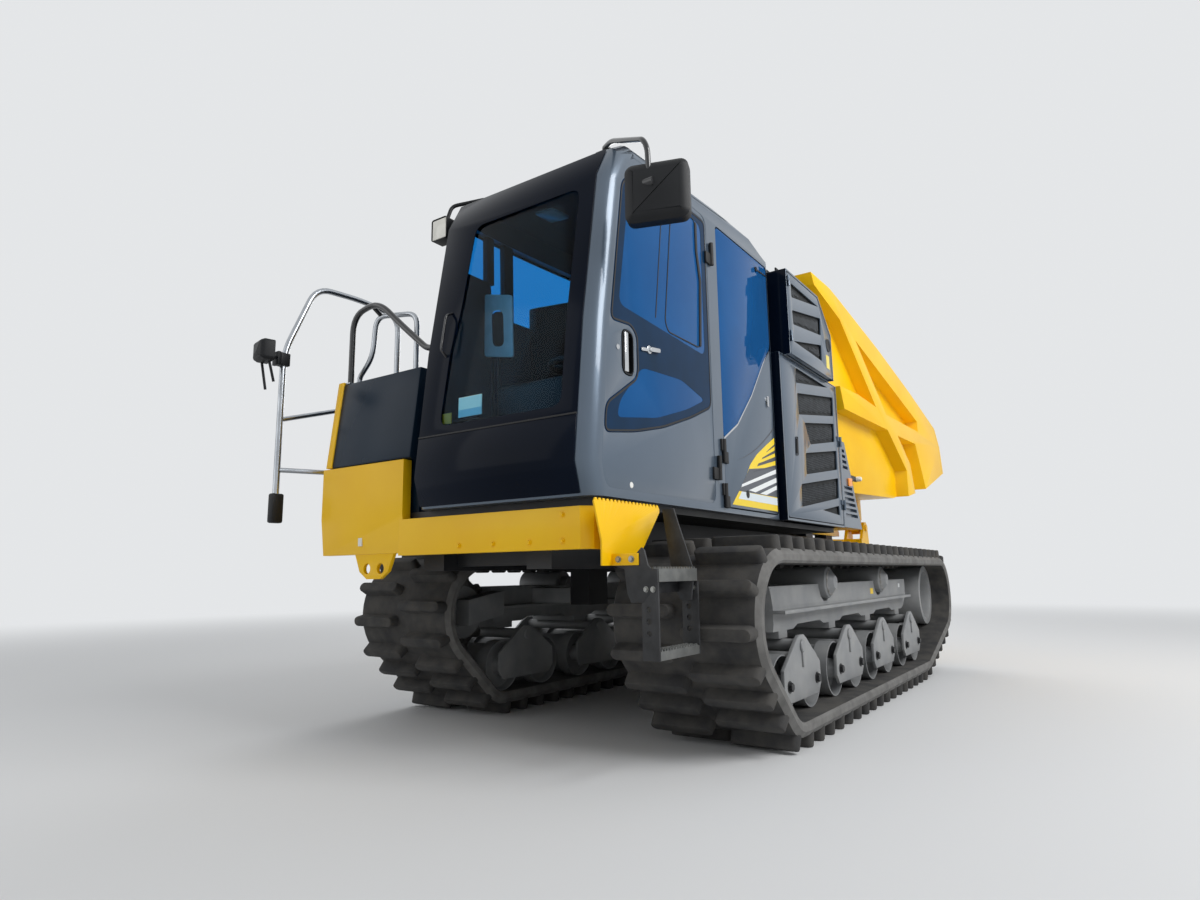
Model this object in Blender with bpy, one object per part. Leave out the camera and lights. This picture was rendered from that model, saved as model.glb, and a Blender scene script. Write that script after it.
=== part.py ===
"""Crawler carrier: a rubber-tracked dump carrier of the 7-tonne class.

Machine frame, in metres: the front faces -Y, the machine's left is +X, +Z is up,
z = 0 is the ground and y = 0 lies just ahead of the tracks' front curve.
One empty, set half the length back, carries every piece, so that the world origin
is on the ground at the middle of the machine's box.
"""
import math

import bmesh
import bpy
import numpy as np
from mathutils import Matrix, Vector

# Overall sizes
OVERALL_WIDTH = 2.45
FRONT_Y = -0.62
REAR_Y = 4.94
SEAT_GAP = 0.0003
PANEL_GAP = 0.006

# Tracks
TRACK_WIDTH = 0.71
TRACK_X = (OVERALL_WIDTH / 2 - TRACK_WIDTH, OVERALL_WIDTH / 2)
BELT = 0.070
LUG_HEIGHT = 0.055
SHOE_PITCH = 0.150
LUG_LENGTH = 0.062
LUG_WIDTH = 0.285
LUG_INSET = 0.050
SPROCKET_Y = 0.43
IDLER_Y = 3.90
END_Z = 0.57
SPROCKET_WRAP = 0.240
IDLER_WRAP = 0.232

WRAP_FACET = math.radians(24)

# Running gear, carried on four rocking bogies a side
ROLLER_RADIUS = 0.140
ROLLER_SIDES = 12
ROLLER_SPACING = 0.365
BOGIE_Y = (0.790, 1.532, 2.250, 3.005)
ROLLER_AXLE_Z = BELT + LUG_HEIGHT + ROLLER_RADIUS + SEAT_GAP
BOGIE_PIVOT_RISE = 0.1647
BOGIE_PIVOT_Z = ROLLER_AXLE_Z + BOGIE_PIVOT_RISE
ROLLER_X = (TRACK_X[0] + 0.045, TRACK_X[1] - 0.105)
BOGIE_PLATE = 0.018
CARRIER_Y = (1.443, 2.545)
CARRIER_RADIUS = 0.085

# Track frame
TRACK_FRAME_X = (0.700, 1.060)
FRAME_OVER_PIVOT = 0.086
FRAME_ARCH_DEPTH = 0.074
FRAME_SIDE_DEPTH = 0.115
TRACK_FRAME_LOW = BOGIE_PIVOT_Z + FRAME_OVER_PIVOT
TRACK_FRAME_LEDGE = TRACK_FRAME_LOW + FRAME_ARCH_DEPTH
TRACK_FRAME_TOP = TRACK_FRAME_LEDGE + FRAME_SIDE_DEPTH
TRACK_FRAME_Y = (0.560, 3.300)

# Chassis
RAIL_X = (0.260, 0.400)
RAIL_Z = (0.800, 1.045)
RAIL_Y = (-0.150, 4.200)
CROSS_TUBE_Y = (1.150, 2.850)
DECK_TOP = 1.0745
DECK_THICKNESS = 0.0295
DECK_X = (-0.880, 0.740)
DECK_Y = (-0.300, 2.700)

# Bumper
BUMPER_Y = -0.360
BUMPER_THICKNESS = 0.050
BUMPER_LOW_Z = (0.872, 1.040)
BUMPER_TALL_Z = (0.885, 1.326)
BUMPER_X = (-0.943, -0.325, 0.708)
SIDE_PLATE_X = (0.745, 0.775)

# Cab
CAB_X = (-0.210, 0.795)
CAB_BOTTOM = 1.075
CAB_HEIGHT = 1.660
CAB_ROOF = CAB_BOTTOM + CAB_HEIGHT
CAB_REAR = 1.530
CAB_WALL = 0.045
CAB_CORNER = 0.080
CAB_FRONT = (
    (-0.385, CAB_BOTTOM), (-0.425, CAB_BOTTOM + 0.135), (-0.360, CAB_BOTTOM + 0.731),
    (-0.247, CAB_ROOF - 0.253), (-0.165, CAB_ROOF - 0.095), (-0.060, CAB_ROOF - 0.025))
WINDSCREEN_X = (-0.125, 0.690)
WINDSCREEN_Z = (CAB_BOTTOM + 0.325, CAB_ROOF - 0.145)
GLASS = 0.006
RIGHT_WINDOW_Y = (0.020, 1.350)
RIGHT_WINDOW_Z = (CAB_BOTTOM + 0.785, CAB_ROOF - 0.175)
REAR_WINDOW_X = (-0.100, 0.390)
REAR_WINDOW_Z = (CAB_ROOF - 0.585, CAB_ROOF - 0.175)
DOOR_REAR = 0.680
DOOR_Z = (CAB_BOTTOM + 0.030, CAB_ROOF - 0.095)
DOOR_SETBACK = 0.085
DOOR_HINGE = (0.806, 0.7075)
DOOR_HINGE_Z = (DOOR_Z[0] + 0.085, DOOR_Z[1] - 0.310)
SIDE_COVER_Y = (0.795, 1.500)
SIDE_COVER_HINGE = (0.806, 0.7700)
# the split between cover and glass: shares of the opening's length and height
SIDE_COVER_SPLIT = ((0.0, 0.231), (0.25, 0.296), (0.55, 0.427), (0.82, 0.577), (1.0, 0.661))
SIDE_COVER_CORNER_Z = DOOR_Z[0] + (DOOR_Z[1] - DOOR_Z[0]) * SIDE_COVER_SPLIT[0][1]
SIDE_COVER_HINGE_Z = (DOOR_Z[0] + 0.055, SIDE_COVER_CORNER_Z - 0.073)

# Engine hood
HOOD_X = 0.830
HOOD_Y = (1.560, 2.670)
HOOD_Z = (1.075, 2.110)
HOOD_WALL = 0.028
UPPER_X = (0.420, 0.880)
UPPER_Y = (1.620, 2.472)
UPPER_TOP = 2.659
UPPER_CHAMFER = (0.247, 0.223)
LOWER_DOOR_Y = (1.580, 2.655)
LOWER_DOOR_Z = (1.095, 2.100)
LOWER_DOOR_HINGE = (0.841, 2.6680)
LOWER_DOOR_HINGE_Z = (1.200, 1.660)
UPPER_COVER_HINGE = (0.891, 1.6280)
UPPER_COVER_HINGE_Z = (2.180, 2.540)
KNUCKLE = 0.009
KNUCKLE_HEIGHT = 0.035
LEAF_REACH = 0.045
WINDOW_BACKING = 0.005
ENGINE_X = (-0.500, 0.450)
ENGINE_Y = (1.700, 2.550)
ENGINE_TOP = 1.850
LOUVRE_OUTLINE = ((2.677, 1.080), (3.110, 1.080), (2.790, 1.710), (2.677, 1.710))

# Right-hand tank box and its deck
TANK_X = (-0.920, -0.290)
TANK_Y = (-0.355, 1.540)
TANK_Z = (BUMPER_TALL_Z[1] + 0.004, 1.790)

# Dump vessel: side plane x = VESSEL_HALF + VESSEL_FLARE * (y - VESSEL_FRONT)
VESSEL_FRONT = 2.350
VESSEL_HALF = 0.800
VESSEL_FLARE = 0.1236
RIB_DEPTH = 0.100
SKIN = 0.030
VESSEL_OUTLINE = (
    (2.360, 2.906), (2.660, 2.867), (2.830, 2.815), (3.530, 2.584), (4.200, 2.333),
    (4.795, 2.084), (4.894, 1.920), (4.940, 1.673), (4.420, 1.485), (3.900, 1.375),
    (2.985, 1.360), (2.730, 2.124))
VESSEL_INSIDE = (
    (2.420, 2.990), (2.785, 2.124), (3.035, 1.420), (3.885, 1.435), (4.420, 1.545),
    (5.100, 1.790), (5.100, 2.990))
VESSEL_RECESSES = (
    ((2.250, 2.880), (2.807, 2.660), (3.399, 2.072), (3.050, 2.117), (2.500, 2.133)),
    ((3.079, 2.557), (4.335, 2.087), (4.335, 1.996), (3.603, 2.040)),
    ((2.500, 1.977), (3.612, 1.913), (3.977, 1.609), (3.967, 1.300), (2.500, 1.300)),
    ((3.828, 1.893), (4.238, 1.872), (4.419, 1.490), (4.419, 1.300), (4.180, 1.300), (4.071, 1.676)))
VESSEL_BEAM_X = (0.270, 0.370)
VESSEL_SEAT_Z = 1.075
TILT_HINGE = (4.050, 1.140)
HINGE_FOOT_Z = 0.960
HOIST_BASE = (3.300, 0.550)
HOIST_EYE = (3.500, 1.240)
HOIST_X = 0.140
BARREL_RADIUS = 0.055
ROD_RADIUS = 0.032
EYE_RADIUS = 0.048

# Handrails
RAIL_TUBE = 0.017
BRACE_TUBE = 0.013
SIDE_RAIL_X = -1.190
MIRROR_CLAMP_Y = -0.500

COLOURS = {
    "yellow": ((0.86, 0.58, 0.03), 0.40, 0.0),
    "graphite": ((0.060, 0.065, 0.072), 0.35, 0.3),
    "black": ((0.015, 0.015, 0.017), 0.50, 0.0),
    "steel": ((0.10, 0.10, 0.105), 0.55, 0.4),
    "frame_grey": ((0.17, 0.17, 0.175), 0.60, 0.2),
    "rubber": ((0.030, 0.030, 0.031), 0.90, 0.0),
    "glass": ((0.04, 0.09, 0.16), 0.05, 0.0),
    "tube_silver": ((0.55, 0.56, 0.58), 0.35, 0.7),
    "fabric": ((0.02, 0.02, 0.022), 0.95, 0.0),
}

for leftover in list(bpy.data.objects):
    bpy.data.objects.remove(leftover, do_unlink=True)

scene_root = bpy.context.scene.collection
carrier = bpy.data.objects.new("carrier", None)
carrier.location = (0.0, -(FRONT_Y + REAR_Y) / 2, 0.0)
scene_root.objects.link(carrier)


# Making and joining solids
def material(name):
    found = bpy.data.materials.get(name)
    if found:
        return found
    colour, roughness, metallic = COLOURS[name]
    made = bpy.data.materials.new(name)
    made.use_nodes = True
    shader = made.node_tree.nodes["Principled BSDF"]
    shader.inputs["Base Color"].default_value = (*colour, 1.0)
    shader.inputs["Roughness"].default_value = roughness
    shader.inputs["Metallic"].default_value = metallic
    return made


def solid(bm):
    bmesh.ops.recalc_face_normals(bm, faces=bm.faces)
    mesh = bpy.data.meshes.new("solid")
    bm.to_mesh(mesh)
    bm.free()
    made = bpy.data.objects.new("solid", mesh)
    scene_root.objects.link(made)
    return made


def prism(outline, axis, low, high):
    """A flat outline carried along an axis. X takes (y, z), Y takes (x, z), Z takes (x, y)."""
    place = {
        "X": lambda a, b: Vector((low, a, b)),
        "Y": lambda a, b: Vector((a, low, b)),
        "Z": lambda a, b: Vector((a, b, low))}[axis]
    step = {"X": Vector((1, 0, 0)), "Y": Vector((0, 1, 0)), "Z": Vector((0, 0, 1))}[axis] * (high - low)
    bm = bmesh.new()
    face = bm.faces.new([bm.verts.new(place(a, b)) for a, b in outline])
    grown = bmesh.ops.extrude_face_region(bm, geom=[face])
    moved = [item for item in grown["geom"] if isinstance(item, bmesh.types.BMVert)]
    bmesh.ops.translate(bm, verts=moved, vec=step)
    return solid(bm)


def box(x, y, z):
    return prism(((x[0], y[0]), (x[1], y[0]), (x[1], y[1]), (x[0], y[1])), "Z", z[0], z[1])


def circle(centre, radius, sides, turn=0.0):
    steps = [2 * math.pi * (i + turn) / sides for i in range(sides)]
    return [(centre[0] + radius * math.cos(a), centre[1] + radius * math.sin(a)) for a in steps]


def disc(axis, centre, radius, low, high, sides=16):
    return prism(circle(centre, radius, sides, turn=0.5), axis, low, high)


def lathe(profile, centre, sides):
    """A turned piece on an axle along X: profile points are (x, radius), centre is (y, z)."""
    bm = bmesh.new()
    ring = [bm.verts.new((x, centre[0], centre[1] - radius)) for x, radius in profile]
    edges = [bm.edges.new(pair) for pair in zip(ring, ring[1:])]
    bmesh.ops.spin(
        bm, geom=ring + edges, cent=(0, centre[0], centre[1]), axis=(1, 0, 0),
        angle=2 * math.pi, steps=sides, use_duplicate=False)
    bmesh.ops.remove_doubles(bm, verts=bm.verts, dist=0.00001)
    bmesh.ops.holes_fill(bm, edges=[edge for edge in bm.edges if edge.is_boundary])
    return solid(bm)


def rounded_path(points, bend, steps=3):
    """The points of a bent tube: each inner corner becomes a short arc of chords."""
    path = [Vector(points[0])]
    for before, corner, after in zip(points, points[1:], points[2:]):
        corner = Vector(corner)
        back = (Vector(before) - corner).normalized()
        ahead = (Vector(after) - corner).normalized()
        reach = min(bend, 0.45 * (Vector(before) - corner).length, 0.45 * (Vector(after) - corner).length)
        start = corner + back * reach
        end = corner + ahead * reach
        for i in range(steps + 1):
            t = i / steps
            path.append(start.lerp(corner, t).lerp(corner.lerp(end, t), t))
    path.append(Vector(points[-1]))
    return path


def tube(points, radius=RAIL_TUBE, bend=0.06, resolution=1):
    curve = bpy.data.curves.new("tube", "CURVE")
    curve.dimensions = "3D"
    curve.bevel_depth = radius
    curve.bevel_resolution = resolution
    curve.use_fill_caps = True
    path = rounded_path(points, bend) if bend else [Vector(point) for point in points]
    spline = curve.splines.new("POLY")
    spline.points.add(len(path) - 1)
    for point, place in zip(spline.points, path):
        point.co = (*place, 1.0)
    guide = bpy.data.objects.new("tube", curve)
    scene_root.objects.link(guide)
    bpy.context.view_layer.update()
    shaped = guide.evaluated_get(bpy.context.evaluated_depsgraph_get())
    mesh = bpy.data.meshes.new_from_object(shaped)
    bpy.data.objects.remove(guide, do_unlink=True)
    bm = bmesh.new()
    bm.from_mesh(mesh)
    bmesh.ops.remove_doubles(bm, verts=bm.verts, dist=0.00001)
    return solid(bm)


def boolean(base, tools, operation):
    for tool in tools:
        modifier = base.modifiers.new("cut", "BOOLEAN")
        modifier.operation = operation
        modifier.solver = "EXACT"
        modifier.object = tool
        bpy.context.view_layer.update()
        shaped = base.evaluated_get(bpy.context.evaluated_depsgraph_get())
        mesh = bpy.data.meshes.new_from_object(shaped)
        base.modifiers.clear()
        base.data = mesh
        bpy.data.objects.remove(tool, do_unlink=True)
    return base


def join(*solids):
    return boolean(solids[0], solids[1:], "UNION")


def cut(base, *tools):
    return boolean(base, tools, "DIFFERENCE")


def group(*solids):
    """Several solids that don't touch one another, as one tool for a single cut or union."""
    bm = bmesh.new()
    for item in solids:
        bm.from_mesh(item.data)
        bpy.data.objects.remove(item, do_unlink=True)
    return solid(bm)


def mirrored(item):
    bm = bmesh.new()
    bm.from_mesh(item.data)
    bmesh.ops.scale(bm, vec=(-1, 1, 1), verts=bm.verts)
    return solid(bm)


def soften(item, picks, radius, segments=3):
    """Round the edges whose middle point picks() accepts."""
    bm = bmesh.new()
    bm.from_mesh(item.data)
    edges = [edge for edge in bm.edges if picks(*((edge.verts[0].co + edge.verts[1].co) / 2), edge)]
    bmesh.ops.bevel(
        bm, geom=edges, offset=radius, offset_type="OFFSET", segments=segments,
        profile=0.5, affect="EDGES", clamp_overlap=True)
    bm.to_mesh(item.data)
    bm.free()
    return item


def piece(item, name, finish):
    item.name = name
    item.data.name = name
    item.data.materials.clear()
    item.data.materials.append(material(finish))
    item.data.shade_smooth()
    item.data.set_sharp_from_angle(angle=math.radians(32))
    item.parent = carrier
    return item


def inset(outline, distance):
    """The outline moved inwards by a distance, edge by edge; it runs anticlockwise."""
    moved = []
    count = len(outline)
    for i in range(count):
        before, here, after = (Vector(outline[(i + k) % count]) for k in (-1, 0, 1))
        a = (here - before).normalized()
        b = (after - here).normalized()
        na = Vector((-a.y, a.x))
        nb = Vector((-b.y, b.x))
        middle = (na + nb) / (1 + na.dot(nb))
        moved.append(tuple(here + middle * distance))
    return moved


def along(path, z):
    """The y of a (y, z) line at a height."""
    return float(np.interp(z, [p[1] for p in path], [p[0] for p in path]))


# Tracks: a belt round the hull of four wheels, with two rows of lugs
FIRST_ROLLER_Y = BOGIE_Y[0] - ROLLER_SPACING / 2
LAST_ROLLER_Y = BOGIE_Y[3] + ROLLER_SPACING / 2
TRACK_WHEELS = (
    (SPROCKET_Y, END_Z, SPROCKET_WRAP),
    (FIRST_ROLLER_Y, ROLLER_AXLE_Z, ROLLER_RADIUS + SEAT_GAP),
    (LAST_ROLLER_Y, ROLLER_AXLE_Z, ROLLER_RADIUS + SEAT_GAP),
    (IDLER_Y, END_Z, IDLER_WRAP))


def loop_path(offset):
    """Straights and arcs round the wheels, anticlockwise in (y, z), as (start, end, wheel) runs."""
    runs = []
    count = len(TRACK_WHEELS)
    tangents = []
    for i in range(count):
        y0, z0, r0 = TRACK_WHEELS[i]
        y1, z1, r1 = TRACK_WHEELS[(i + 1) % count]
        heading = math.atan2(z1 - z0, y1 - y0) + math.asin((r0 - r1) / math.dist((y0, z0), (y1, z1)))
        normal = heading - math.pi / 2
        tangents.append((
            (y0 + (r0 + offset) * math.cos(normal), z0 + (r0 + offset) * math.sin(normal)),
            (y1 + (r1 + offset) * math.cos(normal), z1 + (r1 + offset) * math.sin(normal)), normal))
    for i in range(count):
        start, end, normal = tangents[i]
        runs.append(("line", start, end, normal, math.dist(start, end)))
        wheel = TRACK_WHEELS[(i + 1) % count]
        sweep = (tangents[(i + 1) % count][2] - normal) % (2 * math.pi)
        runs.append(("arc", wheel, normal, sweep, sweep * (wheel[2] + offset)))
    return runs


def loop_point(runs, offset, distance):
    """Place and outward normal at a distance along the loop."""
    for run in runs:
        if distance <= run[-1]:
            break
        distance -= run[-1]
    share = min(1.0, distance / run[-1])
    if run[0] == "line":
        place = Vector(run[1]).lerp(Vector(run[2]), share)
        return place, Vector((math.cos(run[3]), math.sin(run[3])))
    normal = run[2] + run[3] * share
    out = Vector((math.cos(normal), math.sin(normal)))
    return Vector(run[1][:2]) + out * (run[1][2] + offset), out


def inner_outline():
    """The belt's inner face: straights that touch the wheels, with tangent facets round each wheel."""
    outline = []
    for run in loop_path(0.0):
        if run[0] == "arc":
            _, wheel, normal, sweep, _ = run
            facets = math.ceil(sweep / WRAP_FACET)
            reach = wheel[2] / math.cos(sweep / facets / 2)
            for k in range(facets):
                angle = normal + (k + 0.5) * sweep / facets
                outline.append((wheel[0] + reach * math.cos(angle), wheel[1] + reach * math.sin(angle)))
    return outline


def lug_places(corners, i):
    """Two staggered lugs on one facet of the belt: (start, end) shares of its length for each row."""
    length = (Vector(corners[(i + 1) % len(corners)]) - Vector(corners[i])).length
    half = LUG_LENGTH / 2 / length
    return ((0.27 - half, 0.27 + half), (0.73 - half, 0.73 + half))


def make_track():
    middle = BELT / 2
    runs = loop_path(middle)
    total = sum(run[-1] for run in runs)
    pitches = round(total / SHOE_PITCH)
    stations = [loop_point(runs, middle, total * i / pitches) for i in range(pitches)]
    inner = inner_outline()
    outer = [tuple(place + out * middle) for place, out in stations]
    belt = cut(
        prism(outer, "X", *TRACK_X),
        prism(inner, "X", TRACK_X[0] - 0.1, TRACK_X[1] + 0.1))
    rows = (
        (TRACK_X[0] + LUG_INSET, TRACK_X[0] + LUG_INSET + LUG_WIDTH),
        (TRACK_X[1] - LUG_INSET - LUG_WIDTH, TRACK_X[1] - LUG_INSET))
    lugs = []
    for i in range(pitches):
        a = Vector(outer[i])
        b = Vector(outer[(i + 1) % pitches])
        out = Vector(((b - a).y, -(b - a).x)).normalized()
        for (start, end), row in zip(lug_places(outer, i), rows):
            foot = a.lerp(b, start) - out * 0.01
            toe = a.lerp(b, end) - out * 0.01
            rise = out * (LUG_HEIGHT + 0.01)
            draft = (b - a).normalized() * 0.008
            shape = [tuple(p) for p in (foot, toe, toe + rise - draft, foot + rise + draft)]
            lugs.append(prism(shape, "X", *row))
    return join(belt, group(*lugs))


# Running gear
def make_roller(centre):
    low, high = ROLLER_X
    rim = 0.022
    dish = 0.080
    profile = (
        (low, ROLLER_RADIUS), (low + dish, ROLLER_RADIUS), (low + dish, ROLLER_RADIUS - rim),
        (high - dish, ROLLER_RADIUS - rim), (high - dish, ROLLER_RADIUS), (high, ROLLER_RADIUS))
    return lathe(profile, centre, ROLLER_SIDES)


def make_bogie(y):
    """A rocking pair of rollers between two teardrop plates, hung from a pivot pin."""
    half = ROLLER_SPACING / 2
    hub = 0.070
    toe = 0.035
    low = ROLLER_AXLE_Z - 0.062
    top = BOGIE_PIVOT_Z + 0.055
    plate = (
        (y - half - hub, ROLLER_AXLE_Z), (y - half - toe, low), (y - half + toe, low),
        (y, ROLLER_AXLE_Z - 0.020), (y + half - toe, low), (y + half + toe, low),
        (y + half + hub, ROLLER_AXLE_Z), (y + 0.075, top), (y - 0.075, top))
    inner_face = ROLLER_X[0] - 0.012
    outer_face = ROLLER_X[1] + 0.012
    plates = group(
        prism(plate, "X", inner_face - BOGIE_PLATE, inner_face),
        prism(plate, "X", outer_face, outer_face + BOGIE_PLATE))
    rollers = group(*(make_roller((y + side * half, ROLLER_AXLE_Z)) for side in (-1, 1)))
    axles = group(*(
        disc("X", (y + side * half, ROLLER_AXLE_Z), 0.038, inner_face - 0.004, outer_face + 0.004, 6)
        for side in (-1, 1)))
    pivot = disc(
        "X", (y, BOGIE_PIVOT_Z), 0.030, inner_face - BOGIE_PLATE - 0.010, outer_face + BOGIE_PLATE + 0.010, 8)
    return join(plates, axles, rollers, pivot)


def make_sprocket():
    """Drive sprocket: a toothed ring on a bolted final-drive hub."""
    tip = SPROCKET_WRAP - SEAT_GAP
    root = tip - 0.035
    teeth = 10
    outline = []
    for i in range(teeth):
        for share, radius in ((-0.30, root), (-0.16, tip), (0.16, tip), (0.30, root)):
            angle = 2 * math.pi * (i + share) / teeth
            outline.append((SPROCKET_Y + radius * math.cos(angle), END_Z + radius * math.sin(angle)))
    rings = group(
        prism(outline, "X", 0.760, 0.785),
        prism(outline, "X", 0.935, 0.960))
    hub = lathe(
        ((0.700, 0.120), (0.700, 0.150), (0.970, 0.150), (0.985, 0.120), (1.020, 0.110), (1.020, 0.040)),
        (SPROCKET_Y, END_Z), 12)
    return join(rings, hub)


def make_idler():
    """Spoked idler wheel on its tensioner axle."""
    rim = IDLER_WRAP - SEAT_GAP
    wheel = lathe(
        ((0.620, rim - 0.050), (0.620, rim), (1.080, rim), (1.080, rim - 0.050), (1.060, rim - 0.055),
         (0.900, rim - 0.060), (0.900, 0.070), (1.010, 0.060), (1.010, 0.030)),
        (IDLER_Y, END_Z), 18)
    return wheel


def make_track_frame():
    """Roller frame: box section with arches over the bogies and brackets for two carrier rollers."""
    front, rear = TRACK_FRAME_Y
    low = [(front, TRACK_FRAME_LEDGE)]
    for y in BOGIE_Y:
        for step in (-0.20, -0.14, 0.14, 0.20):
            height = TRACK_FRAME_LOW if abs(step) > 0.15 else TRACK_FRAME_LOW - 0.020
            low.append((y + step, height))
    low.append((rear, TRACK_FRAME_LEDGE))
    outline = low + [(rear, TRACK_FRAME_TOP), (front, TRACK_FRAME_TOP)]
    beam = prism(outline, "X", *TRACK_FRAME_X)
    hangers = group(*(
        box(TRACK_FRAME_X, (y - 0.055, y + 0.055), (BOGIE_PIVOT_Z + 0.0315, TRACK_FRAME_LOW + 0.030))
        for y in BOGIE_Y))
    ledge = box(
        (0.640, 1.120), (front + 0.05, rear - 0.10), (TRACK_FRAME_LEDGE - 0.012, TRACK_FRAME_LEDGE + 0.004))
    nose = prism(
        ((SPROCKET_Y - 0.06, END_Z - 0.07), (front + 0.10, TRACK_FRAME_LOW + 0.03),
         (front + 0.10, TRACK_FRAME_TOP - 0.02), (SPROCKET_Y - 0.06, END_Z + 0.07)), "X", 0.600, 0.6995)
    tail = prism(
        ((rear - 0.10, TRACK_FRAME_LEDGE - 0.02), (IDLER_Y + 0.06, END_Z - 0.045),
         (IDLER_Y + 0.06, END_Z + 0.045), (rear - 0.10, TRACK_FRAME_TOP - 0.03)), "X", 0.560, 0.6195)
    carrier_z = END_Z + SPROCKET_WRAP - CARRIER_RADIUS - 0.012
    carriers = group(*(
        lathe(
            ((0.700, 0.030), (0.700, 0.050), (0.760, 0.050), (0.760, CARRIER_RADIUS), (1.085, CARRIER_RADIUS),
             (1.120, 0.035)), (y, carrier_z), ROLLER_SIDES)
        for y in CARRIER_Y))
    notches = group(*(
        disc("X", (y, carrier_z), CARRIER_RADIUS + 0.020, 0.7605, 1.2, ROLLER_SIDES) for y in CARRIER_Y))
    link = box((0.560, 0.740), (rear - 0.30, rear - 0.05), (TRACK_FRAME_LEDGE - 0.02, TRACK_FRAME_TOP - 0.03))
    cross = group(*(
        box((RAIL_X[1] + SEAT_GAP, 0.720), (y - 0.11, y + 0.11), (0.600, 0.690)) for y in CROSS_TUBE_Y))
    clearance = disc("X", (SPROCKET_Y, END_Z), SPROCKET_WRAP + 0.012, TRACK_FRAME_X[0] - SEAT_GAP, 1.2, 20)
    frame = join(beam, hangers, ledge, nose, link, tail)
    return join(cut(frame, notches, clearance), carriers, cross)


def both_sides(left, name, finish):
    other = mirrored(left)
    piece(left, name + "_left", finish)
    piece(other, name + "_right", finish)


both_sides(make_track(), "track", "rubber")
both_sides(make_sprocket(), "sprocket", "frame_grey")
both_sides(make_idler(), "idler", "frame_grey")
both_sides(make_track_frame(), "track_frame", "frame_grey")
for number, bogie_y in enumerate(BOGIE_Y, 1):
    left_bogie = make_bogie(bogie_y)
    right_bogie = mirrored(left_bogie)
    piece(left_bogie, "bogie_left_%d" % number, "frame_grey")
    piece(right_bogie, "bogie_right_%d" % number, "frame_grey")


# Main frame with its deck, hinge brackets and hoist foot
def make_main_frame():
    rails = group(
        box(RAIL_X, RAIL_Y, RAIL_Z),
        box((-RAIL_X[1], -RAIL_X[0]), RAIL_Y, RAIL_Z))
    crosses = group(*(
        box((-RAIL_X[0] - 0.01, RAIL_X[0] + 0.01), (y - 0.06, y + 0.06), (RAIL_Z[0] + 0.02, RAIL_Z[1] - 0.02))
        for y in (0.0, *CROSS_TUBE_Y, TILT_HINGE[0])))
    legs = group(*(
        box(sorted((side * RAIL_X[0], side * RAIL_X[1])), (y - 0.10, y + 0.10), (0.590, RAIL_Z[0] + 0.01))
        for y in CROSS_TUBE_Y for side in (-1, 1)))
    deck = box(DECK_X, DECK_Y, (DECK_TOP - DECK_THICKNESS, DECK_TOP))
    hinge_y, hinge_z = TILT_HINGE
    bracket = (
        (hinge_y - 0.16, HINGE_FOOT_Z), (hinge_y + 0.10, HINGE_FOOT_Z), (hinge_y + 0.06, hinge_z + 0.03),
        (hinge_y + 0.02, hinge_z + 0.055), (hinge_y - 0.03, hinge_z + 0.050))
    brackets = group(*(
        prism(bracket, "X", *sorted((side * a, side * b)))
        for side in (-1, 1) for a, b in ((0.440, 0.465), (0.575, 0.600))))
    rear_beam = box((-0.600, 0.600), (hinge_y - 0.14, hinge_y + 0.06), (HINGE_FOOT_Z, RAIL_Z[1]))
    pins = group(*(
        disc("X", TILT_HINGE, 0.028, *sorted((side * 0.430, side * 0.612)), 12) for side in (-1, 1)))
    base_y, base_z = HOIST_BASE
    foot = (
        (base_y - 0.06, base_z - 0.055), (base_y + 0.06, base_z - 0.055), (base_y + 0.13, RAIL_Z[0] + 0.03),
        (base_y - 0.13, RAIL_Z[0] + 0.03))
    feet = group(*(
        prism(foot, "X", *sorted((side * RAIL_X[0], side * (RAIL_X[0] + 0.025)))) for side in (-1, 1)))
    pads = group(*(
        box(sorted((side * VESSEL_BEAM_X[0], side * VESSEL_BEAM_X[1])), (y - 0.08, y + 0.08),
            (RAIL_Z[1] - 0.01, VESSEL_SEAT_Z))
        for y in (3.25, 3.75) for side in (-1, 1)))
    foot_pin = disc("X", HOIST_BASE, 0.024, -RAIL_X[0] - 0.020, RAIL_X[0] + 0.020, 12)
    return join(rails, crosses, legs, deck, rear_beam, brackets, pins, feet, pads, foot_pin)


piece(make_main_frame(), "main_frame", "yellow")


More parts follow.
